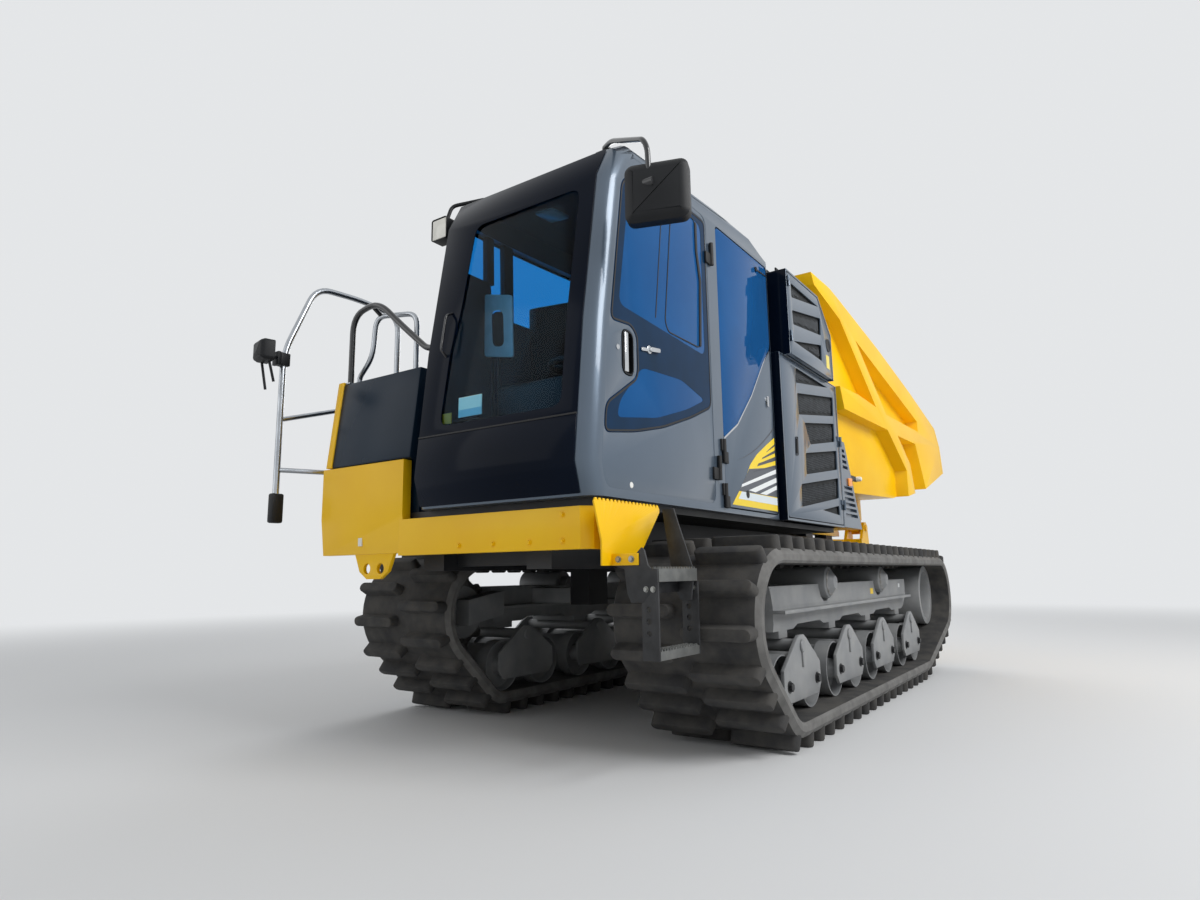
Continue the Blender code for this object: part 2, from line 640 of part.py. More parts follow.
# Bumper: a folded yellow beam, tall on the right, with a towing lug and a step plate on the left
def make_bumper():
    right, break_x, left = BUMPER_X
    back = BUMPER_Y + BUMPER_THICKNESS
    low_z, high_z = BUMPER_LOW_Z
    low = box((break_x - 0.02, left), (BUMPER_Y, back), BUMPER_LOW_Z)
    tall_z = BUMPER_TALL_Z[0]
    fold = tall_z + 0.182
    tall = prism(
        ((BUMPER_Y + 0.020, BUMPER_TALL_Z[0]), (back + 0.02, BUMPER_TALL_Z[0]), (back, fold),
         (back, BUMPER_TALL_Z[1]), (BUMPER_Y, BUMPER_TALL_Z[1]), (BUMPER_Y, fold)), "X", right, break_x)
    chamfer = prism(
        ((left - 0.01, BUMPER_Y), (left, BUMPER_Y), (SIDE_PLATE_X[0], BUMPER_Y + 0.042),
         (SIDE_PLATE_X[0], back + 0.04), (left - 0.01, back)), "Z", *BUMPER_LOW_Z)
    plate = prism(
        ((BUMPER_Y + 0.06, low_z - 0.015), (0.000, low_z - 0.015), (0.187, DECK_TOP - 0.040),
         (0.187, DECK_TOP - 0.008), (BUMPER_Y + 0.042, DECK_TOP - 0.008)), "X", *SIDE_PLATE_X)
    nose = box((SIDE_PLATE_X[0] - 0.03, SIDE_PLATE_X[0] + 0.01), (BUMPER_Y + 0.045, back + 0.06), (low_z, high_z))
    lug = prism(
        ((-0.700, tall_z + 0.017), (-0.655, tall_z - 0.085), (-0.600, tall_z - 0.120),
         (-0.500, tall_z - 0.120), (-0.445, tall_z - 0.085), (-0.400, tall_z + 0.017)),
        "Y", BUMPER_Y + 0.026, BUMPER_Y + 0.046)
    holes = group(*(
        disc("Y", (x, tall_z - 0.070), 0.026, BUMPER_Y - 0.1, BUMPER_Y + 0.2, 12) for x in (-0.600, -0.500)))
    struts = group(*(
        box(x, (back - 0.01, DECK_Y[0] - SEAT_GAP if x[0] < -0.4 else RAIL_Y[0] - SEAT_GAP), (0.90, 1.02))
        for x in ((RAIL_X[0], RAIL_X[1]), (-RAIL_X[1], -RAIL_X[0]))))
    cheek = box((right, right + 0.025), (back - 0.02, 0.10), (BUMPER_TALL_Z[0] + 0.02, BUMPER_TALL_Z[1] - 0.03))
    return join(low, tall, chamfer, nose, plate, cut(lug, holes), struts, cheek)


piece(make_bumper(), "bumper", "yellow")


# Entry steps ahead of the left track, on two flat arms under the cab
def make_steps():
    arms = group(
        box((0.800, 0.990), (-0.270, -0.250), (0.790, 0.850)),
        box((0.800, 0.990), (-0.020, 0.000), (0.790, 0.850)))
    upper = box((0.930, 1.130), (-0.300, 0.030), (0.745, 0.792))
    roots = group(
        box((SIDE_PLATE_X[1] + SEAT_GAP, 0.815), (-0.270, -0.250), (0.800, 1.040)),
        box((SIDE_PLATE_X[1] + SEAT_GAP, 0.815), (-0.020, 0.000), (0.800, 1.040)))
    posts = group(
        box((1.010, 1.078), (-0.400, -0.390), (0.395, 0.720)),
        box((1.010, 1.078), (-0.040, -0.030), (0.395, 0.720)))
    ties = group(
        box((1.010, 1.078), (-0.400, -0.290), (0.712, 0.7455)),
        box((1.010, 1.078), (-0.100, -0.030), (0.712, 0.7455)))
    tread = box((0.985, 1.100), (-0.395, -0.035), (0.400, 0.430))
    return join(upper, arms, roots, ties, posts, tread)


piece(make_steps(), "entry_steps", "steel")


# Butt hinges of the upright-hung doors and covers
def hinge_plates(axis, heights, skin_x, side, reach):
    """The fixed halves of the hinges on one upright axis, on a skin at skin_x.

    The swinging panel lies on the side (+1 or -1) of the axis along Y.
    """
    x, y = axis
    return group(*(
        join(
            disc("Z", axis, KNUCKLE, z, z + KNUCKLE_HEIGHT, 10),
            box((skin_x - 0.004, x - 0.003), sorted((y, y - side * reach)), (z, z + KNUCKLE_HEIGHT)))
        for z in heights))


def hinge_leaves(axis, heights, skin_x, side):
    """The swinging halves, which stand clear of the frame beside the axis."""
    x, y = axis
    halves = []
    for z in heights:
        low = z + KNUCKLE_HEIGHT + SEAT_GAP
        high = z + 2 * KNUCKLE_HEIGHT
        halves.append(join(
            disc("Z", axis, KNUCKLE, low, high, 10),
            box((skin_x + 0.002, x - 0.003), sorted((y, y + side * LEAF_REACH)), (low, high)),
            box((skin_x - 0.005, x - 0.003), sorted((y + side * 0.030, y + side * LEAF_REACH)), (low, high))))
    return group(*halves)


# Cab: a hollow shell with its windows cut
def cab_profile(distance=0.0):
    roof = [(0.300, CAB_ROOF), (1.250, CAB_ROOF), (CAB_REAR, CAB_ROOF - 0.045)]
    outline = list(CAB_FRONT) + roof + [(CAB_REAR, CAB_BOTTOM)]
    return inset(outline[::-1], distance)


def corner_edges(x, y, z, edge):
    upright = abs(edge.verts[0].co.x - edge.verts[1].co.x) < 0.001
    at_side = min(abs(x - CAB_X[0]), abs(x - CAB_X[1])) < 0.001
    return upright and at_side and y < 0.1 and CAB_BOTTOM + 0.001 < z and z < CAB_ROOF - 0.030


def door_outline(margin=0.0):
    """The cab door's outline in (y, z), anticlockwise from its lower front corner."""
    low, high = DOOR_Z[0] + margin, DOOR_Z[1] - margin
    heights = [z for _, z in CAB_FRONT if low + 0.02 < z < high - 0.1]
    front = [(along(CAB_FRONT, z) + DOOR_SETBACK + margin, z) for z in [low] + heights + [high - 0.12]]
    crown = (along(CAB_FRONT, high) + DOOR_SETBACK + 0.05 + margin, high)
    rear = DOOR_REAR - margin
    return [(rear, low), (rear, high), crown] + front[::-1]


def split_line(margin=0.0):
    y0, y1 = SIDE_COVER_Y
    z0, z1 = DOOR_Z
    return [(y0 + (y1 - y0) * along_y, z0 + (z1 - z0) * up + margin) for along_y, up in SIDE_COVER_SPLIT]


def make_cab():
    shell = soften(prism(cab_profile(), "X", *CAB_X), corner_edges, CAB_CORNER, 4)
    inside = prism(cab_profile(CAB_WALL), "X", CAB_X[0] + CAB_WALL, CAB_X[1] - CAB_WALL)
    windscreen = box(WINDSCREEN_X, (-0.60, -0.14), WINDSCREEN_Z)
    door = prism(door_outline(-PANEL_GAP), "X", CAB_X[1] - CAB_WALL - 0.02, CAB_X[1] + 0.05)
    y0, y1 = SIDE_COVER_Y
    rear_side = box(
        (CAB_X[1] - CAB_WALL - 0.02, CAB_X[1] + 0.05), (y0 - PANEL_GAP, y1 + PANEL_GAP),
        (DOOR_Z[0] - PANEL_GAP, DOOR_Z[1]))
    right_window = box((CAB_X[0] - 0.05, CAB_X[0] + CAB_WALL + 0.02), RIGHT_WINDOW_Y, RIGHT_WINDOW_Z)
    rear_window = box(REAR_WINDOW_X, (CAB_REAR - CAB_WALL - 0.02, CAB_REAR + 0.05), REAR_WINDOW_Z)
    shell = cut(shell, inside, windscreen, door, rear_side, right_window, rear_window)
    door_half = hinge_plates(DOOR_HINGE, DOOR_HINGE_Z, CAB_X[1], -1, 0.020)
    cover_half = hinge_plates(SIDE_COVER_HINGE, SIDE_COVER_HINGE_Z, CAB_X[1], 1, 0.020)
    return join(shell, door_half, cover_half)


def make_windscreen():
    low, high = WINDSCREEN_Z[0] + SEAT_GAP, WINDSCREEN_Z[1] - SEAT_GAP
    heights = [low] + [z for _, z in CAB_FRONT if low < z < high] + [high]
    outer = [(along(CAB_FRONT, z) + 0.010, z) for z in heights]
    inner = [(y + GLASS, z) for y, z in outer]
    return prism(inner + outer[::-1], "X", WINDSCREEN_X[0] + SEAT_GAP, WINDSCREEN_X[1] - SEAT_GAP)


def door_window():
    """Glass of the door: full width above, a notch round the pull handle, a curved lower edge."""
    def front(z):
        return along(CAB_FRONT, z) + DOOR_SETBACK + 0.045

    rear = DOOR_REAR - 0.060
    top = DOOR_Z[1] - 0.060
    return [
        (front(1.330) + 0.01, 1.330), (0.100, 1.345), (0.380, 1.430), (rear, 1.600), (rear, top),
        (front(top - 0.100) + 0.06, top), (front(top - 0.100), top - 0.100),
        (front(1.840), 1.840), (-0.060, 1.800), (-0.060, 1.480), (front(1.440), 1.440)]


def make_door():
    leaf = prism(door_outline(), "X", CAB_X[1] - CAB_WALL, CAB_X[1] - 0.001)
    leaf = cut(leaf, prism(door_window(), "X", CAB_X[0], CAB_X[1] + 0.1))
    return join(leaf, hinge_leaves(DOOR_HINGE, DOOR_HINGE_Z, CAB_X[1], -1))


def make_door_glass():
    return prism(inset(door_window(), SEAT_GAP), "X", CAB_X[1] - 0.020, CAB_X[1] - 0.014)


def make_side_cover():
    y0, y1 = SIDE_COVER_Y
    outline = [(y0, DOOR_Z[0]), (y1, DOOR_Z[0])] + split_line(-PANEL_GAP / 2)[::-1]
    leaf = prism(outline, "X", CAB_X[1] - CAB_WALL, CAB_X[1] - 0.001)
    return join(leaf, hinge_leaves(SIDE_COVER_HINGE, SIDE_COVER_HINGE_Z, CAB_X[1], 1))


def make_side_glass():
    y0, y1 = SIDE_COVER_Y
    y0, y1 = y0 - PANEL_GAP + SEAT_GAP, y1 + PANEL_GAP - SEAT_GAP
    lower = split_line(PANEL_GAP / 2)
    lower[0] = (y0, lower[0][1])
    lower[-1] = (y1, lower[-1][1])
    outline = lower + [(y1, DOOR_Z[1] - SEAT_GAP), (y0, DOOR_Z[1] - SEAT_GAP)]
    return prism(outline, "X", CAB_X[1] - 0.030, CAB_X[1] - 0.012)


def narrowed(span):
    """A pane's span in its opening."""
    return (span[0] + SEAT_GAP, span[1] - SEAT_GAP)


def make_fixed_glass():
    """The right-hand and rear panes, each in its opening."""
    right = box(
        (CAB_X[0] + 0.012, CAB_X[0] + 0.018), narrowed(RIGHT_WINDOW_Y), narrowed(RIGHT_WINDOW_Z))
    rear = box(
        narrowed(REAR_WINDOW_X), (CAB_REAR - 0.018, CAB_REAR - 0.012), narrowed(REAR_WINDOW_Z))
    return right, rear


piece(make_cab(), "cab_shell", "graphite")
piece(make_windscreen(), "windscreen", "glass")
piece(make_door(), "cab_door", "graphite")
piece(make_door_glass(), "cab_door_glass", "glass")
piece(make_side_cover(), "side_access_cover", "graphite")
piece(make_side_glass(), "cab_side_glass", "glass")
right_glass, rear_glass = make_fixed_glass()
piece(right_glass, "cab_right_glass", "glass")
piece(rear_glass, "cab_rear_glass", "glass")


# Inside the cab: the seat and the control console
def make_seat():
    floor = CAB_BOTTOM + CAB_WALL + SEAT_GAP
    pedestal = box((0.160, 0.480), (0.500, 0.860), (floor, 1.420))
    cushion = soften(
        box((0.070, 0.570), (0.380, 0.900), (1.400, 1.540)), lambda x, y, z, e: z > 1.539, 0.045, 3)
    back = prism(
        ((0.840, 1.500), (0.960, 1.500), (1.060, 2.130), (0.990, 2.150), (0.900, 2.080)), "X", 0.080, 0.560)
    head = prism(((0.985, 2.120), (1.060, 2.120), (1.090, 2.320), (1.020, 2.330)), "X", 0.200, 0.440)
    return join(pedestal, cushion, back, head)


def make_console():
    floor = CAB_BOTTOM + CAB_WALL + SEAT_GAP
    front = prism(
        ((-0.220, floor), (0.000, floor), (0.020, 1.500), (-0.040, 1.640), (-0.220, 1.640)), "X", 0.140, 0.560)
    side = prism(
        ((-0.220, floor), (0.900, floor), (0.900, 1.600), (0.500, 1.640), (0.350, 1.520), (-0.220, 1.520)),
        "X", CAB_X[0] + CAB_WALL + SEAT_GAP, 0.010)
    bridge = box((0.000, 0.150), (-0.200, -0.020), (1.300, 1.480))
    column = tube(((0.350, -0.060, 1.500), (0.350, 0.100, 1.780)), 0.022, 0.0)
    wheel = disc("Z", (0.350, 0.120), 0.150, 1.770, 1.800, 20)
    levers = group(
        tube(((-0.080, 0.300, 1.480), (-0.080, 0.260, 1.760)), 0.014, 0.0),
        tube(((-0.080, 0.180, 1.480), (-0.080, 0.140, 1.720)), 0.014, 0.0))
    return join(front, side, bridge, column, wheel, levers)


piece(make_seat(), "seat", "fabric")
piece(make_console(), "control_console", "black")


# Engine hood with its plain engine block, two louvre blocks, and its two covers
LOWER_WINDOWS = (
    ((1.72, 1.90), (1.72, 2.03), (2.50, 1.90)),
    ((1.72, 1.66), (2.55, 1.66), (2.55, 1.86), (1.72, 1.86)),
    ((1.76, 1.46), (2.55, 1.46), (2.55, 1.62), (1.76, 1.62)),
    ((1.86, 1.30), (2.56, 1.30), (2.56, 1.42), (1.86, 1.42)),
    ((1.80, 1.15), (2.56, 1.15), (2.56, 1.26), (1.80, 1.26)))
UPPER_WINDOWS = (
    ((1.72, 2.47), (2.20, 2.47), (1.72, 2.60)),
    ((1.72, 2.30), (2.40, 2.30), (2.40, 2.43), (1.72, 2.43)),
    ((2.40, 2.14), (2.40, 2.26), (1.76, 2.26)))


def upper_housing():
    """Side outline of the upper housing, chamfered at its rear top."""
    y0, y1 = UPPER_Y
    dy, dz = UPPER_CHAMFER
    foot = HOOD_Z[1] - 0.02
    return ((y0, foot), (y1, foot), (y1, UPPER_TOP - dz), (y1 - dy, UPPER_TOP), (y0, UPPER_TOP))


def make_hood():
    low = box((-HOOD_X, HOOD_X), HOOD_Y, HOOD_Z)
    upper_outline = upper_housing()
    upper = prism(upper_outline, "X", *UPPER_X)
    louvres = group(
        prism(LOUVRE_OUTLINE, "X", 0.450, HOOD_X),
        prism(LOUVRE_OUTLINE, "X", -HOOD_X, -0.450))
    ties = group(
        box((0.460, 0.800), (HOOD_Y[1] - 0.01, 2.69), (1.10, 1.60)),
        box((-0.800, -0.460), (HOOD_Y[1] - 0.01, 2.69), (1.10, 1.60)))
    hollow = box(
        (-HOOD_X + HOOD_WALL, HOOD_X - HOOD_WALL), (HOOD_Y[0] + HOOD_WALL, HOOD_Y[1] - HOOD_WALL),
        (HOOD_Z[0] - 0.05, HOOD_Z[1] - HOOD_WALL))
    upper_hollow = prism(
        inset(upper_outline, HOOD_WALL), "X", UPPER_X[0] + HOOD_WALL, UPPER_X[1] - HOOD_WALL)
    passage = box((0.50, 0.78), (1.72, 2.38), (HOOD_Z[1] - 0.06, HOOD_Z[1] + 0.05))
    door_hole = box(
        (HOOD_X - HOOD_WALL - 0.01, HOOD_X + 0.05), (LOWER_DOOR_Y[0] - PANEL_GAP, LOWER_DOOR_Y[1] + PANEL_GAP),
        (LOWER_DOOR_Z[0] - PANEL_GAP, LOWER_DOOR_Z[1] + 0.003))
    cover_hole = prism(
        inset(upper_outline, 0.012), "X", UPPER_X[1] - HOOD_WALL - 0.01, UPPER_X[1] + 0.05)
    right_windows = group(*(
        prism(outline, "X", -HOOD_X - 0.05, -HOOD_X + HOOD_WALL - WINDOW_BACKING) for outline in LOWER_WINDOWS))
    slots = group(*(
        box(
            (HOOD_X - 0.025, HOOD_X + 0.02) if side > 0 else (-HOOD_X - 0.02, -HOOD_X + 0.025),
            (2.720, 2.720 + length), (z, z + 0.022))
        for side in (-1, 1)
        for z, length in (
            (1.63, 0.06), (1.59, 0.08), (1.55, 0.10), (1.51, 0.12), (1.36, 0.20), (1.32, 0.22), (1.28, 0.24),
            (1.24, 0.26), (1.20, 0.28), (1.16, 0.30))))
    body = join(low, upper, louvres, ties)
    body = cut(body, hollow, upper_hollow, passage, door_hole, cover_hole, right_windows, slots)
    door_half = hinge_plates(LOWER_DOOR_HINGE, LOWER_DOOR_HINGE_Z, HOOD_X, -1, 0.030)
    cover_half = hinge_plates(UPPER_COVER_HINGE, UPPER_COVER_HINGE_Z, UPPER_X[1], 1, 0.006)
    return join(body, door_half, cover_half)


def make_lower_door():
    leaf = box((HOOD_X - HOOD_WALL, HOOD_X - 0.001), LOWER_DOOR_Y, LOWER_DOOR_Z)
    windows = group(*(
        prism(outline, "X", HOOD_X - HOOD_WALL + WINDOW_BACKING, HOOD_X + 0.1) for outline in LOWER_WINDOWS))
    return join(cut(leaf, windows), hinge_leaves(LOWER_DOOR_HINGE, LOWER_DOOR_HINGE_Z, HOOD_X, -1))


def make_upper_cover():
    leaf = prism(inset(upper_housing(), 0.018), "X", UPPER_X[1] - HOOD_WALL, UPPER_X[1] - 0.001)
    windows = group(*(
        prism(shape, "X", UPPER_X[1] - HOOD_WALL + WINDOW_BACKING, UPPER_X[1] + 0.1) for shape in UPPER_WINDOWS))
    return join(cut(leaf, windows), hinge_leaves(UPPER_COVER_HINGE, UPPER_COVER_HINGE_Z, UPPER_X[1], 1))


piece(make_hood(), "engine_hood", "graphite")
piece(make_lower_door(), "hood_lower_door", "graphite")
piece(make_upper_cover(), "hood_upper_cover", "graphite")
piece(box(ENGINE_X, ENGINE_Y, (DECK_TOP + SEAT_GAP, ENGINE_TOP)), "engine_block", "steel")


# Right-hand tank box with its sloping front, and the deck on top
def make_tank():
    x0, x1 = TANK_X
    y0, y1 = TANK_Y
    z0, z1 = TANK_Z
    body = prism(((y0, z0), (y1, z0), (y1, z1), (y0 + 0.055, z1)), "X", x0, x1)
    base = box((x0 + 0.03, x1), (-0.290, y1), (DECK_TOP + SEAT_GAP, z0 + 0.01))
    return join(body, base)


piece(make_tank(), "tank_box", "black")


# Handrails round the right-hand deck
def make_handrails():
    seat = TANK_Z[1] + SEAT_GAP
    loop = tube((
        (-0.870, -0.270, seat), (-0.870, -0.270, 2.180), (-0.640, -0.290, 2.200), (-0.500, -0.260, 2.060),
        (-0.300, -0.250, 1.890), (CAB_X[0] - SEAT_GAP, -0.250, 1.890)), 0.015, 0.10)
    inner = tube((
        (-0.890, -0.200, seat), (-0.890, -0.200, seat + 0.060), (-0.760, -0.220, 1.940),
        (-0.740, -0.220, 2.160), (-0.440, -0.200, 2.120), (-0.440, -0.200, seat)), 0.014, 0.06)
    clamp = tube(((-0.700, -0.286, 2.196), (-0.700, -0.212, 2.150)), 0.012, 0.0)
    return join(loop, clamp, inner)


def make_side_rail():
    x = SIDE_RAIL_X
    stay_z = TANK_Z[0] + 0.010
    back_z = TANK_Z[0] + 0.230
    hoop = tube((
        (x, -0.470, 1.100), (x, -0.470, 1.980), (x, -0.290, 2.410), (x, 0.020, 2.425), (x, 0.300, 2.400),
        (x, 0.300, back_z - 0.060)), RAIL_TUBE, 0.08)
    middle = tube(((x, -0.470, 1.610), (x, 0.300, 1.850)), BRACE_TUBE, 0.0)
    low = tube((
        (x, -0.470, stay_z), (-1.060, -0.180, stay_z), (TANK_X[0] - SEAT_GAP, -0.180, stay_z)), BRACE_TUBE, 0.05)
    back = tube(((x, 0.300, back_z), (TANK_X[0] - SEAT_GAP, 0.300, back_z)), BRACE_TUBE, 0.0)
    foot = box((x - 0.020, x + 0.020), (-0.500, -0.430), (1.060, 1.200))
    clamp = box((x - 0.030, x + 0.030), (MIRROR_CLAMP_Y, -0.440), (1.900, 1.980))
    return join(hoop, middle, low, back, foot, clamp)


def make_right_mirror():
    x = SIDE_RAIL_X
    clamp = box((x - 0.030, x + 0.030), (MIRROR_CLAMP_Y - 0.018, MIRROR_CLAMP_Y - SEAT_GAP), (1.900, 1.980))
    arm = tube(((x, MIRROR_CLAMP_Y - 0.010, 1.940), (x, -0.570, 1.960)), 0.010, 0.0)
    head = box((x - 0.035, x + 0.100), (-0.620, -0.560), (1.900, 2.010))
    return join(clamp, arm, head)


piece(make_handrails(), "deck_handrails", "black")
piece(make_side_rail(), "side_handrail", "tube_silver")
piece(make_right_mirror(), "mirror_right", "black")


# Left mirror on its stay, and the work lamp
def roof_foot(x, y):
    """A small foot plate that follows the roof's fall towards the front."""
    path = (CAB_FRONT[-1], (0.300, CAB_ROOF))
    heights = [np.interp(at, [p[0] for p in path], [p[1] for p in path]) + SEAT_GAP for at in (y, y + 0.080)]
    return prism(
        ((y, heights[0]), (y + 0.080, heights[1]), (y + 0.080, heights[1] + 0.012), (y, heights[0] + 0.012)),
        "X", x - 0.030, x + 0.030)


def make_left_mirror():
    over = CAB_ROOF + 0.030
    stay = tube((
        (0.700, 0.030, CAB_ROOF - 0.010), (0.700, 0.030, over), (0.720, -0.440, over), (0.900, -0.460, over),
        (0.930, -0.460, CAB_ROOF - 0.215)), 0.015, 0.06)
    head = soften(
        box((0.830, 1.080), (-0.500, -0.440), (CAB_ROOF - 0.405, CAB_ROOF - 0.135)),
        lambda x, y, z, e: y < -0.499, 0.020, 2)
    return join(stay, head, roof_foot(0.700, -0.010))


def make_work_lamp():
    stalk = tube((
        (-0.130, 0.030, CAB_ROOF - 0.010), (-0.130, 0.030, CAB_ROOF + 0.020),
        (-0.290, -0.120, CAB_ROOF + 0.010), (-0.290, -0.150, CAB_ROOF - 0.135)), 0.010, 0.03)
    head = box((-0.350, -0.240), (-0.200, -0.130), (CAB_ROOF - 0.255, CAB_ROOF - 0.125))
    return join(stalk, head, roof_foot(-0.130, -0.010))


piece(make_left_mirror(), "mirror_left", "black")
piece(make_work_lamp(), "work_lamp", "black")


# Dump vessel: flared sides with box ribs, a leaning headboard and a rising tail
def side_x(y, inboard=0.0):
    return VESSEL_HALF + VESSEL_FLARE * (y - VESSEL_FRONT) - inboard


def flared(item, inboard=0.0):
    """Carry a prism of half-width 1 out to the flared side plane."""
    for vertex in item.data.vertices:
        vertex.co.x *= side_x(vertex.co.y, inboard)
    return item


def recess(outline, side):
    """A pocket in one side, RIB_DEPTH deep from the flared plane."""
    pocket = prism(outline, "X", 0.0, 1.0)
    for vertex in pocket.data.vertices:
        y = vertex.co.y
        depth = side_x(y, RIB_DEPTH) if vertex.co.x < 0.5 else side_x(y) + 0.05
        vertex.co.x = side * depth
    bm = bmesh.new()
    bm.from_mesh(pocket.data)
    bpy.data.objects.remove(pocket, do_unlink=True)
    return solid(bm)


def make_vessel():
    body = flared(prism(VESSEL_OUTLINE, "X", -1, 1))
    inside = flared(prism(VESSEL_INSIDE, "X", -1, 1), RIB_DEPTH + SKIN)
    pockets = [recess(outline, side) for outline in VESSEL_RECESSES for side in (-1, 1)]
    hinge_y, hinge_z = TILT_HINGE
    beams = group(*(
        box(sorted((side * VESSEL_BEAM_X[0], side * VESSEL_BEAM_X[1])), (3.080, hinge_y - 0.010),
            (VESSEL_SEAT_Z + SEAT_GAP, 1.400))
        for side in (-1, 1)))
    cross = box((-0.560, 0.560), (hinge_y - 0.05, hinge_y + 0.05), (hinge_z + 0.075, 1.420))
    lug = ((hinge_y - 0.05, hinge_z + 0.14), (hinge_y - 0.05, hinge_z - 0.02), (hinge_y - 0.02, hinge_z - 0.05),
           (hinge_y + 0.02, hinge_z - 0.05), (hinge_y + 0.05, hinge_z - 0.02), (hinge_y + 0.05, hinge_z + 0.14))
    lugs = group(*(
        prism(lug, "X", *sorted((side * 0.485, side * 0.555))) for side in (-1, 1)))
    bores = disc("X", TILT_HINGE, 0.0295, -0.8, 0.8, 12)
    eye_y, eye_z = HOIST_EYE
    ear = (
        (eye_y - 0.06, eye_z - 0.02), (eye_y + 0.06, eye_z - 0.02), (eye_y + 0.09, 1.400), (eye_y - 0.09, 1.400))
    ears = group(*(
        prism(ear, "X", *sorted((side * a, side * (a + 0.016))))
        for side in (-1, 1) for a in (HOIST_X - 0.062, HOIST_X + 0.046)))
    vessel = cut(body, inside, *pockets)
    return cut(join(vessel, beams, cross, lugs, ears), bores)


piece(make_vessel(), "dump_vessel", "yellow")


# Hoist: one cylinder a side between the chassis foot pin and the vessel's ears
def make_hoist(x):
    base = Vector(HOIST_BASE)
    eye = Vector(HOIST_EYE)
    reach = (eye - base).length
    lean = math.atan2(eye.y - base.y, eye.x - base.x)
    eye_bottom = disc("X", (0, 0), EYE_RADIUS, x - 0.035, x + 0.035, 12)
    barrel = disc("Z", (x, 0), BARREL_RADIUS, 0.030, reach - 0.110, 16)
    bore = disc("Z", (x, 0), ROD_RADIUS + 0.001, 0.060, reach, 12)
    pin_hole = disc("X", (0, 0), 0.0255, x - 0.1, x + 0.1, 12)
    barrel = cut(join(barrel, eye_bottom), bore, pin_hole)
    rod = disc("Z", (x, 0), ROD_RADIUS, 0.062, reach - 0.02, 12)
    rod_eye = disc("X", (0, reach), EYE_RADIUS, x - 0.035, x + 0.035, 12)
    rod = join(rod, rod_eye)
    turn = Matrix.Rotation(-(math.pi / 2 - lean), 4, "X")
    for item in (barrel, rod):
        item.data.transform(Matrix.Translation((0, base.x, base.y)) @ turn)
    return barrel, rod


for side_name, hoist_x in (("left", HOIST_X), ("right", -HOIST_X)):
    barrel, rod = make_hoist(hoist_x)
    piece(barrel, "hoist_barrel_" + side_name, "steel")
    piece(rod, "hoist_rod_" + side_name, "tube_silver")
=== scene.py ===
import math

import bmesh
import bpy
from mathutils import Matrix, Vector


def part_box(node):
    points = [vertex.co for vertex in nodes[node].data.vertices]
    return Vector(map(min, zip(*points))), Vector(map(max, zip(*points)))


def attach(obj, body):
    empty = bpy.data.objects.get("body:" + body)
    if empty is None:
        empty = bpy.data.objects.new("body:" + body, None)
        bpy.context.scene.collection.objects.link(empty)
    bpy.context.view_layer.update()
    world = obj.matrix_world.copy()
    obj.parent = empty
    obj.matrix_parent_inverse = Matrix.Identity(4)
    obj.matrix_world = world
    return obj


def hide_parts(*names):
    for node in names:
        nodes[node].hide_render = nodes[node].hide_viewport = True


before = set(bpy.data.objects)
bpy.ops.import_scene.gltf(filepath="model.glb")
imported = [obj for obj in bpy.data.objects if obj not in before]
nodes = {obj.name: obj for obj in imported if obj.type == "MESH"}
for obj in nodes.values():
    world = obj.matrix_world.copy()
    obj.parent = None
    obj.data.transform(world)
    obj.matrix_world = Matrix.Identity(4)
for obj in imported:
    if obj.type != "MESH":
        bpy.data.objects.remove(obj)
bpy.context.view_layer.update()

# Where it stands
# A pale studio floor under soft, even light, seen from knee height ahead of the machine's left corner.
# The world stays dim; one broad lamp on the left shapes the metal and one weak one fills the front.
CAMERA_PLACE = (2.418, -4.857, 0.776)
CAMERA_YAW = math.radians(34.578)
CAMERA_PITCH = math.radians(9.456)
CAMERA_ROLL = math.radians(-0.802)
CAMERA_LENS = 22.28
WORLD_LIGHT = 0.52
BACKDROP = 0.86
BACKDROP_TONE = "#f4f6f8"
FLOOR_TONE = "#d9dadb"
FLOOR_FADE = (5.5, 15.0)        # metres from the middle over which the floor turns into the backdrop
LAMPS = (
    # name, place, aimed at, side of the square in metres, watts
    ("key", (7.8, -1.2, 6.5), (0.0, 0.0, 1.2), 5.0, 620),
    ("fill", (-4.0, -8.0, 4.0), (0.0, -1.0, 1.2), 5.0, 60),
    ("back", (-4.0, 7.5, 6.0), (0.0, 1.0, 1.5), 5.0, 260))


def hex_colour(code):
    """An sRGB hex colour as linear RGBA."""
    shares = [int(code[i:i + 2], 16) / 255 for i in (1, 3, 5)]
    return [c / 12.92 if c <= 0.04045 else ((c + 0.055) / 1.055) ** 2.4 for c in shares] + [1.0]


def add(tree, kind, sockets=None, **settings):
    """A shader node with its settings; a socket takes a value, or (node, output)."""
    made = tree.nodes.new("ShaderNode" + kind)
    for name, value in settings.items():
        setattr(made, name, value)
    for socket, value in (sockets or {}).items():
        if isinstance(value, tuple) and isinstance(value[0], bpy.types.Node):
            tree.links.new(value[0].outputs[value[1]], made.inputs[socket])
        else:
            made.inputs[socket].default_value = value
    return made


def looked_at(tree):
    """1 for what is seen straight, in a mirror image or through glass, and 0 for the light itself."""
    rays = add(tree, "LightPath")
    seen = add(tree, "Math", {0: (rays, "Is Camera Ray"), 1: (rays, "Is Glossy Ray")}, operation="MAXIMUM")
    return add(tree, "Math", {0: (seen, 0), 1: (rays, "Is Transmission Ray")}, operation="MAXIMUM")


